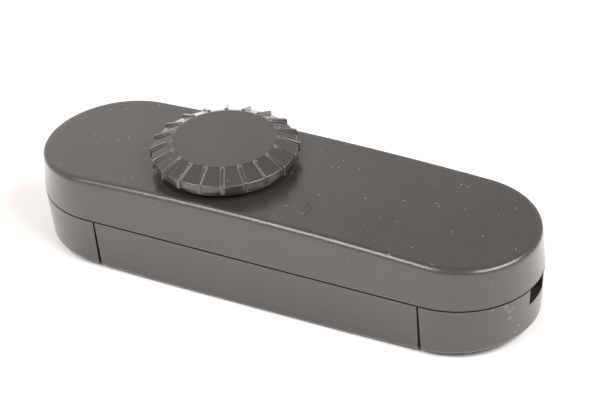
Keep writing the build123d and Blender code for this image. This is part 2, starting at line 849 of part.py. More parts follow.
# Circuit board: a plate with a tongue over each terminal block
with BuildPart() as circuit_board:
    with BuildSketch(Plane.XY.offset(board_bottom)):
        Rectangle(2 * (end_screw_x - boss_radius - board_gap), 2 * board_half_width)
        tongue_width = 2 * (end_screw_spread - boss_radius - board_gap)
        Rectangle(2 * (clamp_x - slim_boss_radius - board_gap), tongue_width)
        with Locations(*base_screw_spots):
            Circle(boss_radius + board_gap, mode=Mode.SUBTRACT)
        with Locations((knob_offset, 0)):
            Circle(bush_radius + bush_play, mode=Mode.SUBTRACT)
        with Locations(*board_screw_spots):
            Circle(shank_radius + shank_play, mode=Mode.SUBTRACT)
        with Locations(*control_pin_spots, *switch_pin_spots, *clip_spots):
            Circle(pin_hole_radius, mode=Mode.SUBTRACT)
        with Locations(*straight_lead_spots, *bent_lead_spots, *leg_spots, *transistor_lead_spots):
            Circle(lead_radius + lead_play, mode=Mode.SUBTRACT)
    extrude(amount=board_thickness)
circuit_board.part.label = "circuit_board"
export_step(circuit_board.part, "parts/circuit_board.step")

# Leads of the parts on the board: straight ones, bent ones at the resistors, and flat legs
with BuildPart() as component_leads:
    with BuildSketch(Plane.XY.offset(board_bottom)):
        with Locations(*straight_lead_spots):
            Circle(lead_radius)
    extrude(amount=board_thickness + lead_tail)
    with BuildSketch(Plane.XY.offset(board_bottom - transistor_leads)):
        with Locations(*transistor_lead_spots):
            Rectangle(leg_width, leg_width)
    extrude(amount=transistor_leads + board_thickness + lead_tail)
    with BuildSketch(Plane.XY.offset(board_bottom - board_gap - chip_height / 2)):
        with Locations(*leg_spots):
            Rectangle(leg_thickness, leg_width)
    extrude(amount=tail_top - board_bottom + board_gap + chip_height / 2)
    for x, y in resistor_spots:
        height = board_bottom - slip_gap - resistor_radius
        for side in (-1, 1):
            start = (x + side * resistor_length / 2, height)
            corner = (x + side * resistor_reach, height)
            with BuildLine(Plane.XZ.offset(-y)):
                route = FilletPolyline(start, corner, (corner[0], tail_top), radius=2 * lead_radius)
            with BuildSketch(Plane(origin=route @ 0, z_dir=route % 0)):
                Circle(lead_radius)
            sweep()
component_leads.part.label = "component_leads"
export_step(component_leads.part, "parts/component_leads.step")

# Film capacitor: a moulded box
with BuildPart() as film_capacitor:
    with BuildSketch(Plane.XY.offset(board_bottom - film_height)):
        with Locations(film_spot):
            RectangleRounded(film_length, film_width, film_corner_radius)
    extrude(amount=film_height)
film_capacitor.part.label = "film_capacitor"
export_step(film_capacitor.part, "parts/film_capacitor.step")

# Choke: a ferrite drum and the winding round its waist
with BuildPart() as choke_core:
    for height in (board_bottom - choke_height, board_bottom - choke_flange):
        with BuildSketch(Plane((*choke_spot, height))):
            Circle(choke_radius)
        extrude(amount=choke_flange)
    with BuildSketch(Plane((*choke_spot, board_bottom - choke_height))):
        Circle(choke_core_radius)
    extrude(amount=choke_height)
choke_core.part.label = "choke_core"
export_step(choke_core.part, "parts/choke_core.step")

with BuildPart() as choke_winding:
    with BuildSketch(Plane((*choke_spot, board_bottom - choke_height + choke_flange + slip_gap))):
        Circle(winding_radius)
        Circle(choke_core_radius + slip_gap, mode=Mode.SUBTRACT)
    extrude(amount=choke_height - 2 * choke_flange - 2 * slip_gap)
choke_winding.part.label = "choke_winding"
export_step(choke_winding.part, "parts/choke_winding.step")

# Electrolytic capacitor: a can with a rolled groove near the board
with BuildPart() as electrolytic_capacitor:
    with BuildSketch(Plane(origin=(*can_spot, 0), x_dir=(1, 0, 0), z_dir=(0, -1, 0))):
        with BuildLine():
            groove = board_bottom - 3 * can_groove - board_gap
            Polyline(
                (0, board_bottom),
                (can_radius, board_bottom),
                (can_radius, groove + can_groove),
                (can_radius - can_groove, groove),
                (can_radius, groove - can_groove),
                (can_radius, board_bottom - can_height),
                (0, board_bottom - can_height),
                close=True,
            )
        make_face()
    revolve(axis=Axis((*can_spot, 0), (0, 0, 1)))
electrolytic_capacitor.part.label = "electrolytic_capacitor"
export_step(electrolytic_capacitor.part, "parts/electrolytic_capacitor.step")

# Varistor: a coated disc standing on edge, its coating run up to the board
with BuildPart() as varistor:
    with BuildSketch(Plane.XZ.offset(-varistor_spot[1])):
        with Locations((varistor_spot[0], board_bottom - varistor_drop)):
            Circle(varistor_radius)
        with Locations((varistor_spot[0], board_bottom - varistor_drop / 2)):
            Rectangle(varistor_pitch + varistor_thickness / 2, varistor_drop)
    extrude(amount=varistor_thickness / 2, both=True)
varistor.part.label = "varistor"
export_step(varistor.part, "parts/varistor.step")

# Resistors lying under the board
with BuildPart() as resistors:
    for x, y in resistor_spots:
        height = board_bottom - slip_gap - resistor_radius
        with BuildSketch(Plane((x - resistor_length / 2, y, height), x_dir=(0, 1, 0), z_dir=(1, 0, 0))):
            Circle(resistor_radius)
        extrude(amount=resistor_length)
resistors.part.label = "resistors"
export_step(resistors.part, "parts/resistors.step")

# Control chip between its two rows of legs
with BuildPart() as control_chip:
    with BuildSketch(Plane.XY.offset(board_bottom - board_gap - chip_height)):
        with Locations(chip_spot):
            Rectangle(chip_width, chip_length)
    extrude(amount=chip_height)
control_chip.part.label = "control_chip"
export_step(control_chip.part, "parts/control_chip.step")

# Heat sink plate, the transistor on it and the screw that holds them together
hole_height = board_bottom - transistor_leads - transistor_height + transistor_hole_rise
sink_face = sink_spot[1] + sink_thickness / 2
with BuildPart() as heat_sink:
    with BuildSketch(Plane.XY.offset(board_bottom - sink_height)):
        with Locations(sink_spot):
            Rectangle(sink_length, sink_thickness)
    extrude(amount=sink_height)
    with BuildSketch(Plane.XZ.offset(-sink_spot[1])):
        with Locations((transistor_x, hole_height)):
            Circle(shank_radius + thread_play)
    extrude(amount=sink_thickness, both=True, mode=Mode.SUBTRACT)
heat_sink.part.label = "heat_sink"
export_step(heat_sink.part, "parts/heat_sink.step")

with BuildPart() as transistor:
    with BuildSketch(Plane.XY.offset(board_bottom - transistor_leads - transistor_height)):
        with Locations((transistor_x, transistor_y)):
            Rectangle(transistor_width, transistor_thickness)
    extrude(amount=transistor_height)
    with BuildSketch(Plane.XZ.offset(-transistor_y)):
        with Locations((transistor_x, hole_height)):
            Circle(shank_radius + shank_play)
    extrude(amount=transistor_thickness, both=True, mode=Mode.SUBTRACT)
transistor.part.label = "transistor"
export_step(transistor.part, "parts/transistor.step")

with BuildPart() as transistor_screw:
    head_face = sink_face + transistor_thickness
    with BuildSketch(Plane.XZ.offset(-head_face)):
        with Locations((transistor_x, hole_height)):
            Circle(shank_radius)
    extrude(amount=transistor_thickness + sink_thickness)
    with BuildSketch(Plane.XZ.offset(-head_face)):
        with Locations((transistor_x, hole_height)):
            Circle(slim_head_radius)
    extrude(amount=-slim_head_height)
    with BuildSketch(Plane.XZ.offset(-head_face - slim_head_height)):
        with Locations((transistor_x, hole_height)):
            Rectangle(recess_share * slim_head_radius, recess_width)
            Rectangle(recess_width, recess_share * slim_head_radius)
    extrude(amount=recess_depth, mode=Mode.SUBTRACT)
transistor_screw.part.label = "transistor_screw"
export_step(transistor_screw.part, "parts/transistor_screw.step")

# Fuse: a glass tube, its two caps, and the clips that carry it under the board
fuse_height = board_bottom - fuse_drop


def fuse_plan(x):
    """Upright plane across the fuse, centred on its axis."""
    return Plane(origin=(x, fuse_spot[1], fuse_height), x_dir=(0, 1, 0), z_dir=(1, 0, 0))


with BuildPart() as fuse_tube:
    with BuildSketch(fuse_plan(fuse_spot[0])):
        Circle(fuse_tube_radius)
        Circle(fuse_tube_radius - fuse_glass, mode=Mode.SUBTRACT)
    extrude(amount=fuse_length / 2 - fuse_glass, both=True)
fuse_tube.part.label = "fuse_tube"
export_step(fuse_tube.part, "parts/fuse_tube.step")

with BuildPart() as fuse_caps:
    for side in (-1, 1):
        with BuildSketch(fuse_plan(fuse_spot[0] + side * fuse_length / 2)):
            Circle(fuse_cap_radius)
        extrude(amount=-side * fuse_cap_length)
    with BuildSketch(fuse_plan(fuse_spot[0])):
        Circle(fuse_tube_radius + thread_play)
    extrude(amount=fuse_length / 2 - fuse_glass + thread_play, both=True, mode=Mode.SUBTRACT)
fuse_caps.part.label = "fuse_caps"
export_step(fuse_caps.part, "parts/fuse_caps.step")

with BuildPart() as fuse_clips:
    grip_radius = fuse_cap_radius + thread_play
    for x, y in clip_spots:
        with BuildSketch(fuse_plan(x)):
            Circle(grip_radius + clip_metal)
            with Locations((0, fuse_drop / 2)):
                Rectangle(clip_stem, fuse_drop)
            Circle(grip_radius, mode=Mode.SUBTRACT)
            with Locations((0, -grip_radius)):
                Rectangle(clip_mouth, grip_radius, mode=Mode.SUBTRACT)
        extrude(amount=clip_length / 2, both=True)
    with BuildSketch(Plane.XY.offset(board_bottom)):
        with Locations(*clip_spots):
            Rectangle(pin_width, pin_thickness)
    extrude(amount=board_thickness + lead_tail)
fuse_clips.part.label = "fuse_clips"
export_step(fuse_clips.part, "parts/fuse_clips.step")

# Terminal blocks: open towards the cord, with screw holes from below
cage_bottom = board_bottom - block_height + terminal_head_height + block_play
cage_middle = block_front - block_play - cage_length / 2
terminal_spots = [(side * cage_middle, pole * pole_spacing / 2) for side in (-1, 1) for pole in (-1, 1)]


def terminal_block(side):
    """Two pole block under a tongue of the board, on the left (-1) or the right (1)."""
    spots = [(x, y) for x, y in terminal_spots if x * side > 0]
    with BuildPart() as block:
        with BuildSketch(Plane.XY.offset(board_bottom - block_height)):
            with Locations((side * (block_front - block_depth / 2), 0)):
                Rectangle(block_depth, 2 * block_half_width)
        extrude(amount=block_height)
        with BuildSketch(Plane.XY.offset(cage_bottom)):
            with Locations(*[(x + side * block_play, y) for x, y in spots]):
                Rectangle(cage_length + 2 * block_play, cage_width + 2 * slip_gap)
        extrude(amount=cage_height + slip_gap, mode=Mode.SUBTRACT)
        with BuildSketch(Plane.XY.offset(board_bottom - block_height)):
            with Locations(*spots):
                Circle(terminal_head_radius + block_play)
        extrude(amount=cage_bottom - board_bottom + block_height, mode=Mode.SUBTRACT)
    return block.part


for side, name in ((-1, "left"), (1, "right")):
    block = terminal_block(side)
    block.label = f"terminal_block_{name}"
    export_step(block, f"parts/terminal_block_{name}.step")

# Clamping cages of the terminals, open lengthwise for the wires and drilled for the screws
with BuildPart() as terminal_clamps:
    with BuildSketch(Plane.XY.offset(cage_bottom)):
        with Locations(*terminal_spots):
            Rectangle(cage_length, cage_width)
    extrude(amount=cage_height)
    with BuildSketch(Plane.XY.offset(cage_bottom + cage_floor)):
        with Locations(*terminal_spots):
            Rectangle(2 * cage_length, cage_width - 2 * cage_wall)
    extrude(amount=cage_height - cage_floor - cage_wall, mode=Mode.SUBTRACT)
    with BuildSketch(Plane.XY.offset(cage_bottom)):
        with Locations(*terminal_spots):
            Circle(terminal_screw_radius + thread_play)
    extrude(amount=cage_floor, mode=Mode.SUBTRACT)
terminal_clamps.part.label = "terminal_clamps"
export_step(terminal_clamps.part, "parts/terminal_clamps.step")

terminal_screws = screw(
    terminal_spots,
    cage_bottom,
    cage_floor + screw_reach,
    terminal_screw_radius,
    terminal_head_radius,
    terminal_head_height,
)
terminal_screws.label = "terminal_screws"
export_step(terminal_screws, "parts/terminal_screws.step")
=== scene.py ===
"""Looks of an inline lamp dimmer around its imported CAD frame: finishes, fine pieces, studio and camera.

Sizes are in millimetres up to the point where a mesh is finished, and in metres from there on.
"""

from __future__ import annotations

import logging
import math
from dataclasses import dataclass
from enum import Enum
from typing import Any, Protocol

import bmesh
import bpy
from mathutils import Matrix, Vector


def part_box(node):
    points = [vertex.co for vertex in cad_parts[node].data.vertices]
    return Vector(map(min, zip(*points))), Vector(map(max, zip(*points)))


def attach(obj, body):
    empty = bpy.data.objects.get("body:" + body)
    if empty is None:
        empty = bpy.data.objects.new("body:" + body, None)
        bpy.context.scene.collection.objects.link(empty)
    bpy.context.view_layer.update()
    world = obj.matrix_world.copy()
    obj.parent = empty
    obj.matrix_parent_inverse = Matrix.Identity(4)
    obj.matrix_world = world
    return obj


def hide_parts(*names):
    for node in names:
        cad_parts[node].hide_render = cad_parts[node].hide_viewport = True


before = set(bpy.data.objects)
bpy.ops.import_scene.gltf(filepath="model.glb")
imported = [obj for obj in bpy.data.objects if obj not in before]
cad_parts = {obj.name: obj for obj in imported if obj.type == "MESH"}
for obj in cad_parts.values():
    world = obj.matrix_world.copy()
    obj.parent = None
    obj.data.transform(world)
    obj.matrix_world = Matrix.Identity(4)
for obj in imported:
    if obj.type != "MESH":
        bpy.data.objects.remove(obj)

LOG = logging.getLogger("dimmer")
MM = 0.001
# Points of a spun shape that lie nearer than this, in millimetres, are one point.
MERGE_MM = 0.0001
# Faces that meet at more than this many degrees keep a sharp edge in the shading.
SHARP_DEG = 32.0
# The casing's top lies above this height, and its walls mostly below.
TOP_SIDE_MM = 20.0
# What can feed a node's input: another node, by its first open output, or a socket.
Source = bpy.types.Node | bpy.types.NodeSocket
# Settings that nodes of a kind get unless a call gives others.
USUAL_SETTINGS = {"Mix": {"data_type": "RGBA"}}


def linear(hex_colour: str) -> tuple[float, float, float, float]:
    """Turns an sRGB hex colour into the linear colour that shaders take.

    Args:
        hex_colour: six hex digits, such as "4e4c4a".

    Returns:
        Linear red, green, blue and an alpha of 1.
    """
    channels = [int(hex_colour[i : i + 2], 16) / 255 for i in (0, 2, 4)]
    straight = [c / 12.92 if c <= 0.04045 else ((c + 0.055) / 1.055) ** 2.4 for c in channels]
    return (straight[0], straight[1], straight[2], 1.0)


def per_metre(size_mm: float) -> float:
    """Texture scale at which a pattern repeats about every size_mm millimetres."""
    return 1 / (size_mm * MM)


def open_output(source: Source) -> bpy.types.NodeSocket:
    """The first open output of a node, or the socket itself where one is given."""
    if isinstance(source, bpy.types.NodeSocket):
        return source
    return next(socket for socket in source.outputs if socket.enabled)


def add_node(
    tree: bpy.types.NodeTree, kind: str, inputs: dict[Any, Any] | None = None, **settings: Any
) -> bpy.types.Node:
    """Adds a node with its settings, constants and links.

    Args:
        tree: the node tree that gets the node.
        kind: the node's type name, less the ShaderNode that they all start with.
        inputs: for each input, by name or number, a constant, a hex colour, or the node or socket that
            feeds it.
        settings: properties of the node itself.

    Returns:
        The new node.
    """
    node = tree.nodes.new("ShaderNode" + kind)
    for name, value in {**USUAL_SETTINGS.get(kind, {}), **settings}.items():
        setattr(node, name, value)
    for name, value in (inputs or {}).items():
        if isinstance(value, Source):
            tree.links.new(open_output(value), node.inputs[name])
        else:
            node.inputs[name].default_value = linear(value) if isinstance(value, str) else value
    return node


class Surface:
    """A material in the making: its tree, its shader and its object coordinates."""

    def __init__(self, name: str, **constants: Any) -> None:
        """Starts a material.

        Args:
            name: the material's name.
            constants: values for the shader's own sockets, with _ for each space.
        """
        self.material = bpy.data.materials.new(name)
        self.material.use_nodes = True
        self.tree = self.material.node_tree
        self.shader = self.tree.nodes["Principled BSDF"]
        for key, value in constants.items():
            self.shader.inputs[key.replace("_", " ")].default_value = value
        self.place = self.add("TexCoord").outputs["Object"]

    def add(self, kind: str, inputs: dict[Any, Any] | None = None, **settings: Any) -> bpy.types.Node:
        """Adds a node as add_node does, with its texture on the object coordinates unless told otherwise."""
        if kind.startswith("Tex") and kind != "TexCoord":
            inputs = {"Vector": self.place, **(inputs or {})}
        return add_node(self.tree, kind, inputs, **settings)

    def feed(self, socket: str, source: Source) -> None:
        """Links a node or socket into the shader's input of that name."""
        self.tree.links.new(open_output(source), self.shader.inputs[socket])

    def math(self, operation: str, *terms: Source | float) -> Source:
        """A number reckoned from others."""
        return self.add("Math", dict(enumerate(terms)), operation=operation)

    def vector_math(self, operation: str, *terms: Source | tuple[float, ...]) -> Source:
        """A vector or number reckoned from vectors."""
        return self.add("VectorMath", dict(enumerate(terms)), operation=operation)

    def map_range(
        self,
        value: Source,
        from_min: float = 0.0,
        from_max: float = 1.0,
        to_min: float = 0.0,
        to_max: float = 1.0,
    ) -> Source:
        """A value carried over from one range to another, and held within its ends."""
        ends = {"From Min": from_min, "From Max": from_max, "To Min": to_min, "To Max": to_max}
        return self.add("MapRange", {"Value": value, **ends})

    def mix(self, share: Source, first: Source | str, second: Source | str) -> Source:
        """A colour that goes from the first to the second as the share goes from 0 to 1."""
        return self.add("Mix", {"Factor": share, "A": first, "B": second})

    def noise(self, size_mm: float, detail: float) -> Source:
        """Soft lumps about size_mm across, with finer ones on them as detail grows."""
        return self.add("TexNoise", {"Scale": per_metre(size_mm), "Detail": detail})

    def streaks(self, size_mm: tuple[float, float, float], detail: float) -> Source:
        """The same lumps with a size of their own along each axis, so that they can be drawn out."""
        drawn = self.add(
            "Mapping", {"Vector": self.place, "Scale": tuple(per_metre(size) for size in size_mm)}
        )
        return self.add("TexNoise", {"Vector": drawn, "Scale": 1.0, "Detail": detail})

    def bump(self, height: Source, depth_mm: float, under: Source | None = None) -> Source:
        """The normal of a relief depth_mm deep, laid over the normal under it where one is given."""
        inputs = {"Height": height, "Distance": depth_mm * MM}
        if under is not None:
            inputs["Normal"] = under
        return self.add("Bump", inputs)

    def above(self, height_mm: float) -> Source:
        """Whether each point lies above a height, as 1 or 0."""
        place = self.add("SeparateXYZ", {"Vector": self.place})
        return self.math("GREATER_THAN", place.outputs["Z"], height_mm * MM)

    def upward(self) -> Source:
        """How far each point faces up, from -1 to 1."""
        shape = self.add("NewGeometry")
        return self.add("SeparateXYZ", {"Vector": shape.outputs["Normal"]}).outputs["Z"]

    def level_arm(self, middle: Vector) -> Source:
        """The level arm to each point from an upright axis through a middle."""
        arm = self.vector_math("SUBTRACT", self.place, tuple(middle))
        return self.vector_math("MULTIPLY", arm, (1.0, 1.0, 0.0))

    def worn_and_highlit_edges(self, radius_mm: float, first: float, last: float, amount: float) -> Source:
        """Finds the edges to paint paler, as those where a rounded shape would turn away from this one: wear,
        and on the plastics a painted highlight.

        Args:
            radius_mm: how far from an edge the rounding reaches.
            first: match of the two normals, at most 1, at which the paler edge begins.
            last: match at which the paler edge is full.
            amount: how strong the full paler edge is.

        Returns:
            What carries it.
        """
        shape = self.add("NewGeometry")
        rounded = self.add("Bevel", {"Radius": radius_mm * MM}, samples=4)
        match = self.vector_math("DOT_PRODUCT", rounded, shape.outputs["Normal"])
        return self.map_range(match, from_min=first, from_max=last, to_max=amount)


class Finish(Protocol):
    """Anything that can make a Blender material."""

    name: str

    def material(self) -> bpy.types.Material:
        """Makes the material."""


# For each finish of a sub-assembly, the CAD nodes that get it.
Coats = tuple[tuple[Finish, tuple[str, ...]], ...]


@dataclass(frozen=True)
class Fleck:
    """A small pale scuff or crumb on the casing, solid within its core and fading out to its radius."""

    place_mm: tuple[float, float, float]
    radius_mm: float
    strength: float
    core: float = 0.3

    def mask(self, s: Surface, warped: Source) -> Source:
        """How much of the mark lies at each point.

        Args:
            s: the material in the making.
            warped: object coordinates with their wobble, so that the mark's outline isn't round.

        Returns:
            What carries it.
        """
        centre = tuple(c * MM for c in self.place_mm)
        away = s.vector_math("DISTANCE", warped, centre)
        return s.map_range(
            away, from_min=self.radius_mm * MM, from_max=self.radius_mm * MM * self.core, to_max=self.strength
        )


@dataclass(frozen=True)
class ArcRub:
    """A thin dark curved rub on the top of the casing, drawn as part of a circle seen from above."""

    centre_mm: tuple[float, float]
    radius_mm: float
    middle_deg: float
    half_deg: float
    width_mm: float = 0.42
    strength: float = 1.0

    def mask(self, s: Surface) -> Source:
        """How much of the rub lies at each point.

        Args:
            s: the material in the making.

        Returns:
            What carries it.
        """
        flat = s.vector_math("MULTIPLY", s.place, (1.0, 1.0, 0.0))
        centre = (self.centre_mm[0] * MM, self.centre_mm[1] * MM, 0.0)
        arm = s.vector_math("SUBTRACT", flat, centre)
        reach = s.vector_math("LENGTH", arm)
        off = s.math("SUBTRACT", reach, self.radius_mm * MM)
        gap = s.math("ABSOLUTE", off)
        line = s.map_range(gap, from_min=self.width_mm * MM, from_max=0.0, to_max=self.strength)
        way = s.vector_math("NORMALIZE", arm)
        middle = math.radians(self.middle_deg)
        along = s.vector_math("DOT_PRODUCT", way, (math.cos(middle), math.sin(middle), 0.0))
        end = math.cos(math.radians(self.half_deg))
        part = s.map_range(along, from_min=end, from_max=(1 + end) / 2)
        top = s.above(TOP_SIDE_MM)
        drawn = s.math("MULTIPLY", line, part)
        return s.math("MULTIPLY", drawn, top)


@dataclass(frozen=True)
class MouldedPlastic:
    """Thermoplastic from a spark eroded mould: fine even grain, faint clouding, dust, and edges painted paler
    as wear and as a painted highlight.
    """

    name: str
    colour: str
    cloud: str
    roughness: float = 0.3
    ior: float = 1.54
    skin: float = 0.93
    skin_roughness: float = 0.2
    grain_mm: float = 0.28
    grain_depth_mm: float = 0.012
    cloud_mm: float = 14.0
    dust: float = 1.0
    # Colour of the dust specks, and of the edges painted paler as wear and as a painted highlight.
    dust_and_sheen_colour: str = "b8b3ad"
    rub_colour: str = "0b0a0a"
    speck_spacing_mm: float = 2.3
    speck_radius_mm: float = 0.2
    speck_weight: float = 0.6
    speck_height_mm: float = 0.02
    speck_core: float = 0.5
    fine_spacing_mm: float = 0.9
    fine_radius_mm: float = 0.09
    fine_weight: float = 0.4
    wobble_mm: float = 1.1
    wobble_reach_mm: float = 1.2
    film_mm: float = 5.0
    film_spread: float = 0.05
    dust_matt: float = 0.4
    edge_mm: float = 0.35
    # Share of that paler colour at the edges: partly wear, partly a painted highlight.
    edge_wear_and_sheen: float = 0.1
    edge_soft_mm: float = 0.0
    soft_from_mm: float = 18.0
    flecks: tuple[Fleck, ...] = ()
    rubs: tuple[ArcRub, ...] = ()

    def material(self) -> bpy.types.Material:
        """Makes the material.

        Returns:
            A dielectric whose colour clouds slowly, whose grain is bump, and whose specks sit on top.
        """
        s = Surface(self.name, IOR=self.ior, Coat_Weight=self.skin, Coat_Roughness=self.skin_roughness)
        clouds = s.noise(self.cloud_mm, detail=3.0)
        soft = s.map_range(clouds, from_min=0.35, from_max=0.65)
        base = s.mix(soft, self.colour, self.cloud)
        # Edges painted a paler colour: partly wear, partly a painted highlight.
        rubbed = s.worn_and_highlit_edges(self.edge_mm, first=0.995, last=0.93, amount=self.edge_wear_and_sheen)
        shown = s.mix(rubbed, base, self.dust_and_sheen_colour)
        specks = self._specks(s)
        relief = specks
        for rub in self.rubs:
            mark = rub.mask(s)
            shown = s.mix(mark, shown, self.rub_colour)
            relief = s.math("SUBTRACT", relief, mark)
        s.feed("Base Color", s.mix(specks, shown, self.dust_and_sheen_colour))
        film = s.noise(self.film_mm, detail=4.0)
        matt = s.map_range(
            film, to_min=self.roughness - self.film_spread, to_max=self.roughness + self.film_spread
        )
        s.feed("Roughness", s.math("MULTIPLY_ADD", specks, self.dust_matt, matt))
        grain = s.noise(self.grain_mm, detail=2.0)
        under = self._soft_edges(s) if self.edge_soft_mm else None
        bump = s.bump(grain, self.grain_depth_mm, under)
        raised = s.bump(relief, self.speck_height_mm, bump)
        s.feed("Normal", raised)
        s.feed("Coat Normal", raised)
        return s.material

    def _soft_edges(self, s: Surface) -> Source:
        """Rounds the shading of edges above a height, where the real moulding is softer than its drawing.

        Args:
            s: the material in the making.

        Returns:
            What carries the rounded normal.
        """
        reach = s.math("MULTIPLY", s.above(self.soft_from_mm), self.edge_soft_mm * MM)
        return s.add("Bevel", {"Radius": reach}, samples=8)

    def _specks(self, s: Surface) -> Source:
        """Dust: sparse round specks and a finer, fainter kind, thicker on upward faces, and the flecks.

        Args:
            s: the material in the making.

        Returns:
            What carries how much dust lies at each point.
        """
        layers = []
        for spacing, radius, weight in (
            (self.speck_spacing_mm, self.speck_radius_mm, self.speck_weight),
            (self.fine_spacing_mm, self.fine_radius_mm, self.fine_weight),
        ):
            cells = s.add("TexVoronoi", {"Scale": per_metre(spacing), "Randomness": 1.0})
            reach = radius / spacing
            core = reach * self.speck_core
            layers.append(s.map_range(cells, from_min=reach, from_max=core, to_max=weight * self.dust))
        both = s.math("MAXIMUM", layers[0], layers[1])
        settled = s.map_range(s.upward(), from_min=-0.2, from_max=0.8, to_min=0.1, to_max=1.0)
        found = s.math("MULTIPLY", both, settled)
        if not self.flecks:
            return found
        wobble = s.noise(self.wobble_mm, detail=3.0)
        shift = s.vector_math("SUBTRACT", wobble.outputs["Color"], (0.5, 0.5, 0.5))
        warped = s.vector_math("MULTIPLY_ADD", shift, (self.wobble_reach_mm * MM,) * 3, s.place)
        for fleck in self.flecks:
            found = s.math("MAXIMUM", found, fleck.mask(s, warped))
        return found


@dataclass(frozen=True)
class WorkedMetal:
    """Bare or plated metal: streaks from the tool, roll or die, and tarnish in soft patches."""

    name: str
    colour: str
    tarnish: str
    roughness: float = 0.3
    streak_mm: tuple[float, float, float] = (3.0, 3.0, 0.16)
    streak_depth_mm: float = 0.006
    patch_mm: float = 2.2
    tarnish_matt: float = 0.12

    def material(self) -> bpy.types.Material:
        """Makes the material.

        Returns:
            A metal whose tint follows patches and whose gloss and bump follow fine streaks.
        """
        s = Surface(self.name, Metallic=1.0)
        patches = s.noise(self.patch_mm, detail=4.0)
        share = s.map_range(patches, from_min=0.42, from_max=0.72, to_max=0.75)
        s.feed("Base Color", s.mix(share, self.colour, self.tarnish))
        streaks = s.streaks(self.streak_mm, detail=3.0)
        gloss = s.map_range(streaks, to_min=self.roughness - 0.1, to_max=self.roughness + 0.14)
        s.feed("Roughness", s.math("MULTIPLY_ADD", share, self.tarnish_matt, gloss))
        s.feed("Normal", s.bump(streaks, self.streak_depth_mm))
        return s.material


@dataclass(frozen=True)
class DippedCoat:
    """Resin or lacquer that a part was dipped in: glossy, a little wavy, paler where it runs thin."""

    name: str
    colour: str
    thin: str
    roughness: float = 0.22
    wave_mm: float = 1.6
    wave_depth_mm: float = 0.05
    pit_mm: float = 0.45
    pit_depth_mm: float = 0.01
    ring_colours: tuple[str, ...] = ()
    ring_start_mm: float = 0.0
    ring_pitch_mm: float = 1.1
    ring_width_mm: float = 0.6

    def material(self) -> bpy.types.Material:
        """Makes the material.

        Returns:
            A coated dielectric with soft waves, small pits and, where it has any, painted value rings.
        """
        s = Surface(self.name, IOR=1.55, Coat_Weight=0.5, Coat_Roughness=0.12)
        waves = s.noise(self.wave_mm, detail=2.0)
        share = s.map_range(waves, from_min=0.4, from_max=0.75)
        shown = s.mix(share, self.colour, self.thin)
        along = s.add("SeparateXYZ", {"Vector": s.place})
        for step, ring in enumerate(self.ring_colours):
            middle = (self.ring_start_mm + step * self.ring_pitch_mm) * MM
            inside = s.math("COMPARE", along.outputs["X"], middle, self.ring_width_mm / 2 * MM)
            shown = s.mix(inside, shown, ring)
        s.feed("Base Color", shown)
        pits = s.add("TexVoronoi", {"Scale": per_metre(self.pit_mm)})
        craters = s.map_range(pits, from_max=0.25, to_max=1.0)
        s.feed("Roughness", s.map_range(waves, to_min=self.roughness - 0.06, to_max=self.roughness + 0.1))
        broad = s.bump(waves, self.wave_depth_mm)
        s.feed("Normal", s.bump(craters, self.pit_depth_mm, broad))
        return s.material


@dataclass(frozen=True)
class BoardLaminate:
    """Glass epoxy board: solder mask over wide copper areas, and the bare woven laminate on its cut edges."""

    name: str
    mask_on_copper: str
    mask_on_glass: str
    edge: str
    area_mm: float = 7.0
    lane_mm: float = 0.5
    lane_slope: float = 1.3
    face_lean: float = 0.5
    copper_mm: float = 0.035
    thread_mm: float = 0.5
    thread_depth_mm: float = 0.004

    def material(self) -> bpy.types.Material:
        """Makes the material.

        Returns:
            A satin dielectric whose copper areas stand slightly proud, with the glass weave faintly below.
        """
        s = Surface(self.name, IOR=1.52, Coat_Weight=0.35, Coat_Roughness=0.18)
        areas = s.add(
            "TexVoronoi", {"Scale": per_metre(self.area_mm), "Randomness": 0.8}, feature="DISTANCE_TO_EDGE"
        )
        half_lane = self.lane_mm / self.area_mm / 2
        copper = s.map_range(areas, from_min=half_lane, from_max=half_lane * self.lane_slope)
        mask = s.mix(copper, self.mask_on_glass, self.mask_on_copper)
        lean = s.math("ABSOLUTE", s.upward())
        face = s.math("GREATER_THAN", lean, self.face_lean)
        s.feed("Base Color", s.mix(face, self.edge, mask))
        turn = s.add("SeparateXYZ", {"Vector": s.place})
        threads = []
        for axis in ("X", "Y"):
            phase = s.math("MULTIPLY", turn.outputs[axis], math.tau / (self.thread_mm * MM))
            threads.append(s.math("SINE", phase))
        weave = s.math("MULTIPLY", threads[0], threads[1])
        s.feed("Roughness", s.map_range(weave, from_min=-1.0, to_min=0.32, to_max=0.42))
        cloth = s.bump(weave, self.thread_depth_mm)
        s.feed("Normal", s.bump(copper, self.copper_mm, cloth))
        return s.material


@dataclass(frozen=True)
class PressedPowder:
    """Matt pressed or moulded filler such as ferrite or epoxy: close grit, paler at rubbed edges."""

    name: str
    colour: str
    grit_colour: str
    roughness: float = 0.6
    grit_mm: float = 0.2
    grit_depth_mm: float = 0.01
    grit_share: float = 0.3
    corner_mm: float = 0.2
    corner_wear: float = 0.35

    def material(self) -> bpy.types.Material:
        """Makes the material.

        Returns:
            A matt dielectric speckled with grit, with its corners rubbed a shade paler.
        """
        s = Surface(self.name, IOR=1.6)
        grit = s.noise(self.grit_mm, detail=3.0)
        share = s.map_range(grit, from_min=0.5, from_max=0.75, to_max=self.grit_share)
        corner = s.worn_and_highlit_edges(self.corner_mm, first=0.98, last=0.75, amount=self.corner_wear)
        both = s.math("MAXIMUM", share, corner)
        s.feed("Base Color", s.mix(both, self.colour, self.grit_colour))
        s.feed("Roughness", s.map_range(grit, to_min=self.roughness - 0.1, to_max=self.roughness + 0.1))
        s.feed("Normal", s.bump(grit, self.grit_depth_mm))
        return s.material


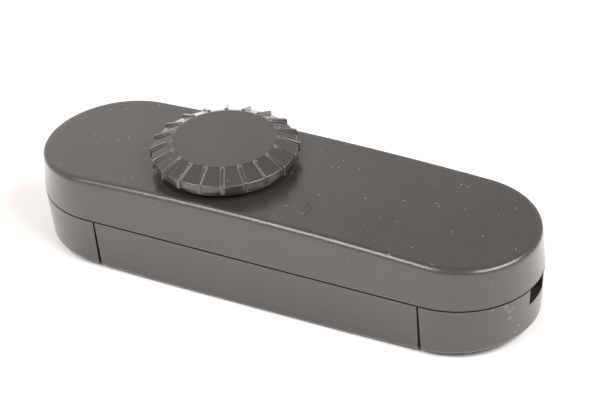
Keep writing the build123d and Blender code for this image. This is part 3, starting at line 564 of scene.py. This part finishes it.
@dataclass(frozen=True)
class EnamelledWire:
    """Copper wire under baked varnish: coppery and glossy, browner where the varnish ran thick."""

    name: str
    colour: str
    dark: str
    run_mm: float = 1.6
    pull_mm: float = 0.12
    pull_depth_mm: float = 0.003

    def material(self) -> bpy.types.Material:
        """Makes the material.

        Returns:
            A metal under a clear coat whose tint and gloss follow the runs of the varnish.
        """
        s = Surface(self.name, Metallic=1.0, Coat_Weight=0.7, Coat_Roughness=0.1)
        runs = s.noise(self.run_mm, detail=3.0)
        thick = s.map_range(runs, from_min=0.4, from_max=0.7)
        s.feed("Base Color", s.mix(thick, self.colour, self.dark))
        s.feed("Roughness", s.map_range(runs, to_min=0.22, to_max=0.4))
        pulls = s.noise(self.pull_mm, detail=2.0)
        s.feed("Normal", s.bump(pulls, self.pull_depth_mm))
        return s.material


@dataclass(frozen=True)
class ShrunkSleeve:
    """Thin film shrunk round an aluminium can: glossy, with one pale stripe, and bare metal on the end."""

    name: str
    colour: str
    stripe: str
    metal: str
    can_node: str
    stripe_deg: float = 62.0
    bare_share: float = 0.8
    bare_lean: float = -0.9
    crease_mm: float = 2.0
    crease_depth_mm: float = 0.03

    def material(self) -> bpy.types.Material:
        """Makes the material.

        Returns:
            A film with a stripe down one side of the can, and metal where the film leaves the end bare.
        """
        low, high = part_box(self.can_node)
        middle, reach = (low + high) / 2, (high.x - low.x) / 2
        s = Surface(self.name, IOR=1.53, Coat_Weight=0.6, Coat_Roughness=0.12)
        flat = s.level_arm(middle)
        way = s.vector_math("NORMALIZE", flat)
        side = s.vector_math("DOT_PRODUCT", way, (0.0, -1.0, 0.0))
        edge = math.cos(math.radians(self.stripe_deg / 2))
        striped = s.math("GREATER_THAN", side, edge)
        film = s.mix(striped, self.colour, self.stripe)
        down = s.math("LESS_THAN", s.upward(), self.bare_lean)
        across = s.vector_math("LENGTH", flat)
        inner = s.math("LESS_THAN", across, reach * self.bare_share)
        bare = s.math("MULTIPLY", down, inner)
        s.feed("Base Color", s.mix(bare, film, self.metal))
        s.feed("Metallic", bare)
        creases = s.noise(self.crease_mm, detail=2.0)
        s.feed("Roughness", s.map_range(creases, to_min=0.2, to_max=0.34))
        s.feed("Normal", s.bump(creases, self.crease_depth_mm))
        return s.material


@dataclass(frozen=True)
class DrawnGlass:
    """Clear glass tube: faint lines along the way it was drawn, and a slight green tint."""

    name: str
    tint: str
    line_mm: tuple[float, float, float] = (9.0, 0.5, 0.5)
    line_depth_mm: float = 0.005

    def material(self) -> bpy.types.Material:
        """Makes the material.

        Returns:
            Clear glass with draw lines along X in its bump and gloss.
        """
        s = Surface(self.name, IOR=1.5, Transmission_Weight=1.0, Base_Color=linear(self.tint))
        lines = s.streaks(self.line_mm, detail=2.0)
        s.feed("Roughness", s.map_range(lines, to_min=0.02, to_max=0.08))
        s.feed("Normal", s.bump(lines, self.line_depth_mm))
        return s.material


@dataclass(frozen=True)
class CarbonTrack:
    """Hard paper ring with a printed carbon arc, worn in fine circles by the brush."""

    name: str
    paper: str
    carbon: str
    track_node: str
    inner_mm: float = 4.4
    outer_mm: float = 6.4
    fibre_mm: float = 0.8
    circle_mm: float = 0.25
    circle_depth_mm: float = 0.004

    def material(self) -> bpy.types.Material:
        """Makes the material.

        Returns:
            Brown board with a black ring whose gloss follows the circles that the brush wears.
        """
        low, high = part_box(self.track_node)
        s = Surface(self.name, IOR=1.5)
        reach = s.vector_math("LENGTH", s.level_arm((low + high) / 2))
        middle, half = (self.inner_mm + self.outer_mm) / 2, (self.outer_mm - self.inner_mm) / 2
        ring = s.math("COMPARE", reach, middle * MM, half * MM)
        fibres = s.noise(self.fibre_mm, detail=5.0)
        mottle = s.map_range(fibres, to_max=0.3)
        board = s.mix(mottle, self.paper, self.carbon)
        s.feed("Base Color", s.mix(ring, board, self.carbon))
        phase = s.math("MULTIPLY", reach, math.tau / (self.circle_mm * MM))
        circles = s.math("SINE", phase)
        worn = s.math("MULTIPLY", circles, ring)
        s.feed("Roughness", s.map_range(worn, from_min=-1.0, to_min=0.35, to_max=0.6))
        s.feed("Normal", s.bump(worn, self.circle_depth_mm))
        return s.material


# ABS, spark eroded mould: satin near-black grey that clouds a little and lifts to grey at grazing angles.
# Its top edge catches the lamps in a broad soft line, and it bears dust, scuffs at one end and a curved rub.
CASING_ABS = MouldedPlastic(
    name="moulded_abs_casing",
    colour="332e2b",
    cloud="2f2a28",
    edge_soft_mm=1.5,
    flecks=(
        Fleck((55.7, -9.8, 11.9), 0.75, 0.2),
        Fleck((56.0, -9.1, 10.3), 0.8, 0.15),
        Fleck((56.0, -8.8, 8.4), 0.7, 0.18),
        Fleck((56.5, -8.2, 10.7), 0.45, 0.18),
        Fleck((56.9, -6.4, 5.2), 0.5, 0.28),
        Fleck((56.5, -7.1, 4.0), 0.45, 0.24),
        Fleck((53.8, -12.2, 12.0), 0.4, 0.2),
    ),
    rubs=(
        ArcRub((8.31, -10.47), 3.06, middle_deg=15.0, half_deg=58.0),
        ArcRub((7.89, -9.14), 2.16, middle_deg=5.0, half_deg=44.0, strength=0.6),
    ),
)
# The same resin from a finer mould: the knob is handled, so it holds less dust; its edges are painted paler,
# partly as wear and mostly as a painted highlight.
KNOB_ABS = MouldedPlastic(
    name="moulded_abs_knob",
    colour="332e2b",
    cloud="2f2a28",
    grain_mm=0.22,
    grain_depth_mm=0.008,
    dust=0.5,
    edge_mm=0.22,
    edge_wear_and_sheen=0.48,
)
# Glass filled PBT for the clamps and the control's shells: matt dark grey with a coarser grain.
INNER_PBT = MouldedPlastic(
    name="moulded_pbt_inner",
    colour="2f2e2d",
    cloud="353432",
    roughness=0.45,
    skin=0.0,
    grain_mm=0.4,
    dust=0.0,
)
# Unfilled polyamide for the terminal blocks, shaft and rotor: waxy off-white that clouds where it is thick.
NATURAL_POLYAMIDE = MouldedPlastic(
    name="moulded_polyamide_natural",
    colour="ddd8c8",
    cloud="cfc9b6",
    roughness=0.4,
    ior=1.53,
    skin=0.0,
    cloud_mm=5.0,
    dust=0.0,
    edge_wear_and_sheen=0.0,
)
# Zinc plated carbon steel: bluish silver screws with the marks of heading and rolling round them.
PLATED_STEEL = WorkedMetal("zinc_plated_steel", colour="b9bcc0", tarnish="8f9092", roughness=0.34)
# Stamped brass: warm yellow with brown patches and the streaks of the strip it was cut from.
STAMPED_BRASS = WorkedMetal("stamped_brass", colour="cfae62", tarnish="9b7b3c", streak_mm=(2.5, 0.15, 2.5))
# Tin dipped copper: soft silver that dulls to grey in patches, with draw lines down the wire.
TINNED_COPPER = WorkedMetal(
    "tinned_copper",
    colour="cfd0cd",
    tarnish="a3a19b",
    roughness=0.3,
    streak_mm=(0.12, 0.12, 2.0),
    patch_mm=1.2,
)
# Rolled aluminium sheet: pale grey metal with long rolling streaks.
ROLLED_ALUMINIUM = WorkedMetal(
    "rolled_aluminium", colour="c3c5c7", tarnish="a8aaac", roughness=0.38, streak_mm=(9.0, 1.0, 0.18)
)
# Epoxy powder coat on the varistor: deep blue and glossy, thinner and paler over the rim.
VARISTOR_EPOXY = DippedCoat("dipped_epoxy_blue", colour="1f4a86", thin="2f66a8")
# Dipped polyester box of the film capacitor: glossy ochre red-brown.
FILM_CAPACITOR_COAT = DippedCoat(
    "dipped_epoxy_ochre", colour="a8752c", thin="bf8c3f", roughness=0.28, wave_depth_mm=0.03
)
# Fired lacquer on the resistors: pale tan with four value rings.
RESISTOR_LACQUER = DippedCoat(
    "fired_lacquer_tan",
    colour="cdb48a",
    thin="d9c59f",
    roughness=0.3,
    wave_mm=1.0,
    wave_depth_mm=0.02,
    ring_colours=("7a4a26", "1c1b1a", "c8792b", "b08a3a"),
    ring_start_mm=2.3,
)
# Glass epoxy laminate under green solder mask: lighter over copper, darker in the lanes between.
MASKED_LAMINATE = BoardLaminate(
    "glass_epoxy_laminate", mask_on_copper="2f6b3c", mask_on_glass="1d4a2a", edge="a9a777"
)
# Sintered ferrite: matt charcoal with paler pressed grit and rubbed corners.
SINTERED_FERRITE = PressedPowder("sintered_ferrite", colour="353433", grit_colour="6d6a66")
# Moulded epoxy of the chip and the transistor: matt black with fine filler showing at the corners.
MOULDED_EPOXY = PressedPowder(
    "moulded_epoxy", colour="201f1f", grit_colour="565452", roughness=0.5, grit_mm=0.12, grit_depth_mm=0.006
)
# Enamelled copper wire: amber brown and glossy, darker where the varnish is thick.
ENAMELLED_COPPER = EnamelledWire("enamelled_copper", colour="b5622f", dark="8a4520")
# Wave soldered tin: bright soft grey, frosted in small patches where it set.
SOLDERED_TIN = WorkedMetal(
    "soldered_tin", colour="c9cac8", tarnish="a9a8a4", roughness=0.26, streak_mm=(0.4, 0.4, 0.4), patch_mm=0.7
)
# PVC film on the electrolytic can: near-black blue with a pale stripe, and bare aluminium on the end.
CAN_SLEEVE = ShrunkSleeve(
    "shrunk_pvc_sleeve", colour="1d2733", stripe="a9b4bc", metal="c6c8ca", can_node="electrolytic_capacitor"
)
# Soda lime glass of the fuse: clear, with faint lines along the tube.
FUSE_GLASS = DrawnGlass("drawn_soda_lime_glass", tint="eef4f0")
# Hard paper with screened carbon: brown ring, black arc with brush circles.
CARBON_ON_PAPER = CarbonTrack(
    "carbon_on_hard_paper", paper="7a5230", carbon="1e1d1c", track_node="resistance_track"
)


class Slot(Enum):
    """Material slots of the record for the new pieces; finish_piece is given one but does not use it."""

    KNOB = "knob_plastic"
    WINDING = "winding_wire"
    SOLDER = "tinned_wire"


def dress(material: bpy.types.Material, *nodes: str) -> None:
    """Gives CAD nodes their material.

    Args:
        material: what they get.
        nodes: the CAD nodes' names.
    """
    for node in nodes:
        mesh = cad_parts[node].data
        mesh.materials.clear()
        mesh.materials.append(material)
        LOG.info("dressed %s in %s", node, material.name)


def add_object(name: str, data: bpy.types.ID) -> bpy.types.Object:
    """Adds an object for a mesh, lamp or camera to the scene."""
    made = bpy.data.objects.new(name, data)
    bpy.context.scene.collection.objects.link(made)
    return made


def spin_section(
    bm: bmesh.types.BMesh, section: tuple[tuple[float, float], ...], middle: Vector, steps: int
) -> None:
    """Spins a half section one full turn round an upright axis.

    Args:
        bm: the mesh that gets the shape.
        section: reach from the axis and height of each corner.
        middle: where the axis stands, seen from above.
        steps: how many steps the turn has.
    """
    verts = [bm.verts.new((middle.x + reach, middle.y, height)) for reach, height in section]
    edges = [bm.edges.new(pair) for pair in zip(verts, verts[1:])]
    bmesh.ops.spin(
        bm,
        geom=verts + edges,
        cent=(middle.x, middle.y, 0),
        axis=(0, 0, 1),
        angle=math.tau,
        steps=steps,
        use_merge=True,
    )


def close_up(bm: bmesh.types.BMesh) -> None:
    """Joins the points that lie on each other and turns all faces outwards."""
    bmesh.ops.remove_doubles(bm, verts=bm.verts, dist=MERGE_MM)
    bmesh.ops.recalc_face_normals(bm, faces=bm.faces)


def round_edges(bm: bmesh.types.BMesh, edges: list[bmesh.types.BMEdge], amount: float) -> None:
    """Rounds edges of a mesh by an amount in millimetres."""
    bmesh.ops.bevel(
        bm,
        geom=edges,
        offset=amount,
        offset_type="OFFSET",
        segments=3,
        profile=0.5,
        affect="EDGES",
        material=-1,
    )


def finish_piece(
    name: str, bm: bmesh.types.BMesh, material: bpy.types.Material, slot: Slot, body: str, *replaced: str
) -> bpy.types.Object:
    """Turns a mesh in millimetres into a piece of the object that rides on its body.

    Args:
        name: the piece's name.
        bm: its mesh, used up here.
        material: its material.
        slot: the record's slot that the material belongs to; not used.
        body: the CAD body it rides on.
        replaced: CAD nodes that it stands for.

    Returns:
        The piece, at the origin, in metres.
    """
    bmesh.ops.scale(bm, vec=(MM, MM, MM), verts=bm.verts)
    mesh = bpy.data.meshes.new(name)
    bm.to_mesh(mesh)
    bm.free()
    mesh.shade_smooth()
    mesh.set_sharp_from_angle(angle=math.radians(SHARP_DEG))
    mesh.materials.append(material)
    piece = add_object(name, mesh)
    flats = piece.modifiers.new("flats_lead_the_shading", "WEIGHTED_NORMAL")
    flats.keep_sharp = True
    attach(piece, body)
    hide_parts(*replaced)
    LOG.info("built %s with %d faces on %s", name, len(mesh.polygons), body)
    return piece


@dataclass
class Dressed:
    """A sub-assembly whose pieces are all CAD nodes, so that it only adds their finishes."""

    coats: Coats

    def build(self) -> None:
        """Makes each finish once and gives it to its nodes."""
        for finish, nodes in self.coats:
            dress(finish.material(), *nodes)


@dataclass
class Casing(Dressed):
    """Top cover, middle of the underside and the two end covers over the cord terminals."""

    coats: Coats = (
        (CASING_ABS, ("top_cover", "base_centre", "terminal_cover_left", "terminal_cover_right")),
    )


@dataclass
class Knob:
    """Press and turn knob: flat disc, conical skirt with twenty ribs, rim, drawn-in lower ring and hub."""

    axis_x: float = -14.3
    disc_radius: float = 11.5
    rim_radius: float = 15.8
    rim_foot_radius: float = 15.65
    ring_radius: float = 15.05
    foot_radius: float = 14.75
    inner_radius: float = 14.0
    hub_radius: float = 4.6
    bore_radius: float = 3.02
    bore_flat_x: float = 1.82
    top: float = 29.76
    rim_top: float = 27.66
    ring_top: float = 25.94
    hub_bottom: float = 25.2
    ring_bottom: float = 24.56
    disc_underside: float = 28.16
    bore_top: float = 28.68
    disc_wall: float = 0.8
    disc_round: float = 0.36
    edge_round: float = 0.2
    corner_deg: float = 20.0
    search_band: float = 0.01
    bore_margin: float = 0.1
    steps: int = 160
    rib_count: int = 20
    rib_start_deg: float = 8.8
    rib_width: float = 0.82
    rib_foot_width: float = 1.0
    rib_bend: float = 12.42
    rib_tip: float = 16.3
    rib_tip_top: float = 28.16
    rib_round: float = 0.18
    rib_inset: float = 0.02
    rib_start_sunk: float = 0.2
    rib_start_depth: float = 0.6
    rib_foot_sunk: float = 0.8
    rib_foot_depth: float = 0.7
    finish: Finish = KNOB_ABS

    def build(self) -> None:
        """Makes the knob in place of its CAD node."""
        bm = self._shell()
        self._add_ribs(bm)
        bmesh.ops.translate(bm, verts=bm.verts, vec=(self.axis_x, 0.0, 0.0))
        finish_piece("ribbed_knob", bm, self.finish.material(), Slot.KNOB, "knob_and_shaft", "knob")

    def _shell(self) -> bmesh.types.BMesh:
        """Spins the half section round the axis, rounds its outer corners and flattens one side of the bore.

        Returns:
            The shell without ribs, centred on the origin's axis.
        """
        bm = bmesh.new()
        section = (
            (0.0, self.top),
            (self.disc_radius / 2, self.top),
            (self.disc_radius, self.top),
            (self.rim_radius, self.rim_top),
            (self.rim_foot_radius, self.ring_top),
            (self.ring_radius, self.ring_top),
            (self.foot_radius, self.ring_bottom),
            (self.inner_radius, self.ring_bottom),
            (self.inner_radius, self.ring_top),
            (self.disc_radius - self.disc_wall, self.disc_underside),
            (self.hub_radius, self.disc_underside),
            (self.hub_radius, self.hub_bottom),
            (self.bore_radius, self.hub_bottom),
            (self.bore_radius, self.bore_top),
            (0.0, self.bore_top),
        )
        spin_section(bm, section, Vector((0.0, 0.0)), self.steps)
        close_up(bm)
        for inner, outer, amount in (
            (self.disc_radius, self.disc_radius, self.disc_round),
            (self.inner_radius, self.rim_radius, self.edge_round),
        ):
            inner, outer = inner - self.search_band, outer + self.search_band
            corners = [
                edge
                for edge in bm.edges
                if edge.calc_face_angle() > math.radians(self.corner_deg)
                and all(inner < vert.co.xy.length < outer for vert in edge.verts)
            ]
            round_edges(bm, corners, amount)
        reach, top = self.bore_radius + self.bore_margin, self.bore_top + self.bore_margin
        for vert in bm.verts:
            if vert.co.xy.length < reach and vert.co.z < top:
                vert.co.x = min(vert.co.x, self.bore_flat_x)
        return bm

    def _rib_mesh(self) -> bpy.types.Mesh:
        """Makes one rib along +X: level from the disc's edge, then down the skirt and the rim.

        Returns:
            A closed mesh with rounded edges, sunk into the shell.
        """
        bm = bmesh.new()
        level, low = self.top - self.rib_inset, self.ring_top + self.rib_inset
        start, end = self.disc_radius - self.rib_start_sunk, self.rim_radius - self.rib_foot_sunk
        top, foot = self.rib_width / 2, self.rib_foot_width / 2
        section = (
            (start, level - self.rib_start_depth, foot),
            (start, level, top),
            (self.rib_bend, level, top),
            (self.rib_tip, self.rib_tip_top, top),
            (self.rib_tip, low, top),
            (end, low, foot),
            (end, self.rim_top - self.rib_foot_depth, foot),
        )
        near_side = [bm.verts.new((reach, -half, height)) for reach, height, half in section]
        grown = bmesh.ops.extrude_face_region(bm, geom=[bm.faces.new(near_side)])
        far_side = [item for item in grown["geom"] if isinstance(item, bmesh.types.BMVert)]
        bmesh.ops.scale(bm, verts=far_side, vec=(1.0, -1.0, 1.0))
        bmesh.ops.recalc_face_normals(bm, faces=bm.faces)
        round_edges(bm, bm.edges[:], self.rib_round)
        mesh = bpy.data.meshes.new("rib_pattern")
        bm.to_mesh(mesh)
        bm.free()
        return mesh

    def _add_ribs(self, bm: bmesh.types.BMesh) -> None:
        """Sets the ribs round the skirt.

        Args:
            bm: the shell that gets them.
        """
        pattern = self._rib_mesh()
        for step in range(self.rib_count):
            before = set(bm.verts)
            bm.from_mesh(pattern)
            turn = math.radians(self.rib_start_deg + step * 360 / self.rib_count)
            added = [vert for vert in bm.verts if vert not in before]
            bmesh.ops.rotate(bm, cent=(0, 0, 0), matrix=Matrix.Rotation(turn, 3, "Z"), verts=added)
        bpy.data.meshes.remove(pattern)


@dataclass
class Control(Dressed):
    """Rotary control with its shaft, track and wiper, and the push switch stacked under it."""

    coats: Coats = (
        (INNER_PBT, ("potentiometer_housing", "switch_lid", "switch_housing")),
        (NATURAL_POLYAMIDE, ("control_shaft", "wiper_rotor", "switch_plunger")),
        (CARBON_ON_PAPER, ("resistance_track",)),
        (STAMPED_BRASS, ("wiper_brush",)),
        (PLATED_STEEL, ("switch_dome",)),
        (TINNED_COPPER, ("control_pins",)),
    )


@dataclass
class Board(Dressed):
    """Circuit board with the dimmer's power parts, its fuse and their soldered leads."""

    coats: Coats = (
        (MASKED_LAMINATE, ("circuit_board",)),
        (MOULDED_EPOXY, ("control_chip", "transistor")),
        (ROLLED_ALUMINIUM, ("heat_sink",)),
        (CAN_SLEEVE, ("electrolytic_capacitor",)),
        (FILM_CAPACITOR_COAT, ("film_capacitor",)),
        (VARISTOR_EPOXY, ("varistor",)),
        (RESISTOR_LACQUER, ("resistors",)),
        (TINNED_COPPER, ("component_leads", "fuse_caps")),
        (FUSE_GLASS, ("fuse_tube",)),
        (STAMPED_BRASS, ("fuse_clips",)),
    )


@dataclass
class Choke:
    """Interference choke: a ferrite drum with enamelled wire wound round its waist in layers."""

    wire: float = 0.8
    layers: int = 4
    sides: int = 10
    steps_per_turn: int = 36
    core_finish: Finish = SINTERED_FERRITE
    wire_finish: Finish = ENAMELLED_COPPER

    def build(self) -> None:
        """Dresses the drum and winds the wire in place of its CAD node."""
        dress(self.core_finish.material(), "choke_core")
        low, high = (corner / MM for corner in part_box("choke_winding"))
        bm = bmesh.new()
        for layer in range(self.layers):
            reach = (high.x - low.x) / 2 - self.wire * (layer + 0.5)
            self._wind(bm, reach, low.z + self.wire / 2, high.z - self.wire / 2, layer % 2 == 0)
        bmesh.ops.holes_fill(bm, edges=[edge for edge in bm.edges if edge.is_boundary])
        bmesh.ops.recalc_face_normals(bm, faces=bm.faces)
        middle = (low + high) / 2
        bmesh.ops.translate(bm, verts=bm.verts, vec=(middle.x, middle.y, 0.0))
        finish_piece("choke_wire", bm, self.wire_finish.material(), Slot.WINDING, "casing", "choke_winding")

    def _wind(self, bm: bmesh.types.BMesh, reach: float, low: float, high: float, upwards: bool) -> None:
        """Winds one layer round the Z axis.

        Args:
            bm: the mesh that gets the layer.
            reach: radius of the wire's middle line.
            low: height of the lowest turn's middle.
            high: height of the highest turn's middle.
            upwards: whether the layer runs up from low, or down from high.
        """
        start = Matrix.Translation((reach, 0.0, low if upwards else high)) @ Matrix.Rotation(
            math.pi / 2, 4, "X"
        )
        ring = bmesh.ops.create_circle(bm, segments=self.sides, radius=self.wire / 2, matrix=start)["verts"]
        hoop = list({edge for vert in ring for edge in vert.link_edges})
        turns = (high - low) / self.wire
        steps = round(turns * self.steps_per_turn)
        rise = (high - low) / steps if upwards else (low - high) / steps
        bmesh.ops.spin(
            bm,
            geom=ring + hoop,
            cent=(0, 0, 0),
            axis=(0, 0, 1),
            dvec=(0, 0, rise),
            angle=math.tau * turns,
            steps=steps,
        )


@dataclass
class SolderJoints:
    """Soldered joints on top of the board: a cone of tin round the tail of each lead, pin and clip."""

    tail_nodes: tuple[str, ...] = ("component_leads", "control_pins", "fuse_clips")
    tail_reach: float = 1.3
    tail_depth: float = 0.05
    pad_radius: float = 0.95
    throat_radius: float = 0.55
    neck_radius: float = 0.43
    throat_height: float = 0.18
    height: float = 0.7
    steps: int = 24
    finish: Finish = SOLDERED_TIN

    def build(self) -> None:
        """Sets a joint round every tail that stands up through the board."""
        board_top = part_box("circuit_board")[1].z / MM
        bm = bmesh.new()
        spots = [spot for node in self.tail_nodes for spot in self._tails(node)]
        for spot in spots:
            self._joint(bm, spot, board_top)
        close_up(bm)
        LOG.info("found %d tails to solder", len(spots))
        finish_piece("solder_joints", bm, self.finish.material(), Slot.SOLDER, "casing")

    def _tails(self, node: str) -> list[Vector]:
        """Finds the middles of the tails that end at the top of a CAD node.

        Args:
            node: the CAD node's name.

        Returns:
            Each tail's middle, in millimetres, seen from above.
        """
        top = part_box(node)[1].z
        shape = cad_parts[node]
        points = [shape.matrix_world @ vert.co for vert in shape.data.vertices]
        ends = [point.xy / MM for point in points if point.z > top - self.tail_depth * MM]
        found = []
        while ends:
            near = [end for end in ends if (end - ends[0]).length < self.tail_reach]
            ends = [end for end in ends if (end - near[0]).length >= self.tail_reach]
            xs, ys = [end.x for end in near], [end.y for end in near]
            found.append(Vector(((min(xs) + max(xs)) / 2, (min(ys) + max(ys)) / 2)))
        return found

    def _joint(self, bm: bmesh.types.BMesh, spot: Vector, base: float) -> None:
        """Spins one joint.

        Args:
            bm: the mesh that gets it.
            spot: its middle, seen from above.
            base: height of the board's top.
        """
        section = (
            (0.0, base),
            (self.pad_radius, base),
            (self.throat_radius, base + self.throat_height),
            (self.neck_radius, base + self.height),
            (0.0, base + self.height),
        )
        spin_section(bm, section, spot, self.steps)


@dataclass
class Terminals(Dressed):
    """Screw terminals for the flex, the clamps that hold it, and every screw in the dimmer."""

    coats: Coats = (
        (NATURAL_POLYAMIDE, ("terminal_block_left", "terminal_block_right")),
        (INNER_PBT, ("cord_clamp_left", "cord_clamp_right")),
        (STAMPED_BRASS, ("terminal_clamps",)),
        (
            PLATED_STEEL,
            (
                "terminal_screws",
                "cord_clamp_screws",
                "terminal_cover_screws",
                "base_screws",
                "board_screws",
                "transistor_screw",
            ),
        ),
    )


@dataclass(frozen=True)
class SoftBox:
    """A wide lamp aimed at the object, placed by its turn from -Y towards +X and its rise, in degrees."""

    name: str
    turn: float
    rise: float
    width: float
    height: float
    power: float
    distance: float = 1.1

    def build(self) -> None:
        """Makes the lamp."""
        turn, rise = math.radians(self.turn), math.radians(self.rise)
        level = math.cos(rise) * self.distance
        place = Vector((math.sin(turn) * level, -math.cos(turn) * level, math.sin(rise) * self.distance))
        lamp = bpy.data.lights.new(self.name, "AREA")
        lamp.shape, lamp.energy = "RECTANGLE", self.power
        lamp.size, lamp.size_y = self.width, self.height
        holder = add_object(self.name, lamp)
        holder.location = place
        holder.rotation_euler = (-place).to_track_quat("-Z", "Y").to_euler()


@dataclass
class Studio:
    """White table, white surround, two soft boxes and the camera that took the photograph."""

    camera_place: tuple[float, float, float] = (0.21384, -0.37360, 0.30634)
    camera_right: tuple[float, float, float] = (0.88672, 0.45939, -0.05195)
    camera_up: tuple[float, float, float] = (-0.22004, 0.51818, 0.82648)
    lens_mm: float = 144.3
    sensor_mm: float = 36.0
    clip: tuple[float, float] = (0.01, 20.0)
    floor_size: float = 6.0
    floor_colour: str = "ececec"
    table_glow: tuple[float, float, float] = (0.98, 0.942, 0.923)
    foot_half_length: float = 0.041
    foot_reach: tuple[float, float] = (0.018, 0.042)
    foot_shade: float = 0.89
    room_tint: tuple[float, float, float] = (1.0, 0.968, 0.948)
    room_levels: tuple[tuple[float, float], ...] = (
        (0.0, 0.4), (0.15, 0.55), (0.38, 0.62), (0.52, 0.75), (0.78, 0.45), (0.92, 0.46), (1.0, 0.9)
    )
    bright_wall_x: float = -0.55
    dim_wall_x: float = -0.3
    bright_wall_level: float = 1.28
    dim_wall_level: float = 0.86
    soft_boxes: tuple[SoftBox, ...] = (
        SoftBox("soft_box_front", turn=-29.0, rise=51.0, width=0.52, height=0.36, power=7.2),
        SoftBox("soft_box_side", turn=90.0, rise=48.0, width=0.95, height=0.3, power=12.0),
    )

    def build(self) -> None:
        """Makes the table, the surround, the lamps and the camera."""
        self._floor()
        self._surround()
        for box in self.soft_boxes:
            box.build()
        self._camera()
        bpy.context.scene.view_settings.view_transform = "Standard"

    def _floor(self) -> None:
        """Makes a level white table that keeps the object's shadow."""
        bm = bmesh.new()
        bmesh.ops.create_grid(bm, x_segments=1, y_segments=1, size=self.floor_size / 2)
        mesh = bpy.data.meshes.new("table_top")
        bm.to_mesh(mesh)
        bm.free()
        table = add_object("table_top", mesh)
        s = Surface("matt_white_board", Roughness=1.0, Specular_IOR_Level=0.0)
        path = s.add("LightPath")
        seen = s.math("MAXIMUM", path.outputs["Is Camera Ray"], path.outputs["Is Glossy Ray"])
        shown = s.math("MAXIMUM", seen, path.outputs["Is Transmission Ray"])
        bright = s.mix(
            self._foot(s, path.outputs["Is Glossy Ray"]),
            (*self.table_glow, 1.0),
            tuple((level * self.foot_shade for level in self.table_glow)) + (1.0,),
        )
        s.feed("Base Color", s.mix(shown, self.floor_colour, bright))
        mesh.materials.append(s.material)

    def _foot(self, s: Surface, glossy: Source) -> Source:
        """Finds how dim the table is round the object's foot, as the glossy walls mirror it.

        Args:
            s: the table's surface.
            glossy: whether a mirroring surface asks.

        Returns:
            What carries 1 at the foot of the walls and 0 further out, and 0 for all other rays.
        """
        place = s.add("SeparateXYZ", {"Vector": s.place})
        along = s.math("ABSOLUTE", place.outputs["X"])
        past = s.math("SUBTRACT", along, self.foot_half_length)
        ahead = s.math("MAXIMUM", past, 0.0)
        arm = s.add("CombineXYZ", {"X": ahead, "Y": place.outputs["Y"]})
        reach = s.vector_math("LENGTH", arm)
        near = s.map_range(
            reach, from_min=self.foot_reach[0], from_max=self.foot_reach[1], to_min=1.0, to_max=0.0
        )
        return s.math("MULTIPLY", near, glossy)

    def _surround(self) -> None:
        """Makes the world: white to the camera, and to the object a room of uneven walls and ceiling."""
        world = bpy.data.worlds.new("white_room")
        bpy.context.scene.world = world
        world.use_nodes = True
        tree = world.node_tree
        background = tree.nodes["Background"]
        direction = add_node(tree, "TexCoord").outputs["Generated"]
        way = add_node(tree, "SeparateXYZ", {"Vector": direction})
        by_height = add_node(tree, "ValToRGB", {"Fac": way.outputs["Z"]})
        stops = by_height.color_ramp.elements
        while len(stops) < len(self.room_levels):
            stops.new(1.0)
        for stop, (height, level) in zip(stops, self.room_levels):
            stop.position, stop.color = height, (level, level, level, 1.0)
        by_side = add_node(
            tree,
            "MapRange",
            {
                "Value": way.outputs["X"],
                "From Min": self.bright_wall_x,
                "From Max": self.dim_wall_x,
                "To Min": self.bright_wall_level,
                "To Max": self.dim_wall_level,
            },
            interpolation_type="SMOOTHSTEP",
        )
        room = add_node(tree, "Math", {0: by_height, 1: by_side}, operation="MULTIPLY")
        path = add_node(tree, "LightPath")
        strength = add_node(
            tree, "Mix", {"Factor": path.outputs["Is Camera Ray"], "A": room, "B": 1.0}, data_type="FLOAT"
        )
        tree.links.new(open_output(strength), background.inputs["Strength"])
        background.inputs["Color"].default_value = (*self.room_tint, 1.0)

    def _camera(self) -> None:
        """Makes the camera from its place and its right and up directions."""
        data = bpy.data.cameras.new("photo_camera")
        data.lens, data.sensor_width = self.lens_mm, self.sensor_mm
        data.clip_start, data.clip_end = self.clip
        camera = add_object("photo_camera", data)
        right, up = Vector(self.camera_right), Vector(self.camera_up)
        turn = Matrix((right, up, right.cross(up))).transposed()
        camera.matrix_world = Matrix.Translation(self.camera_place) @ turn.to_4x4()
        bpy.context.scene.camera = camera


def main() -> None:
    """Builds the finishes, the pieces and the studio."""
    logging.basicConfig(level=logging.INFO, format="%(name)s: %(message)s")
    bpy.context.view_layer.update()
    for assembly in (Casing(), Knob(), Control(), Board(), Choke(), SolderJoints(), Terminals(), Studio()):
        assembly.build()
        LOG.info("built the %s", type(assembly).__name__)


if __name__ == "__main__":
    main()
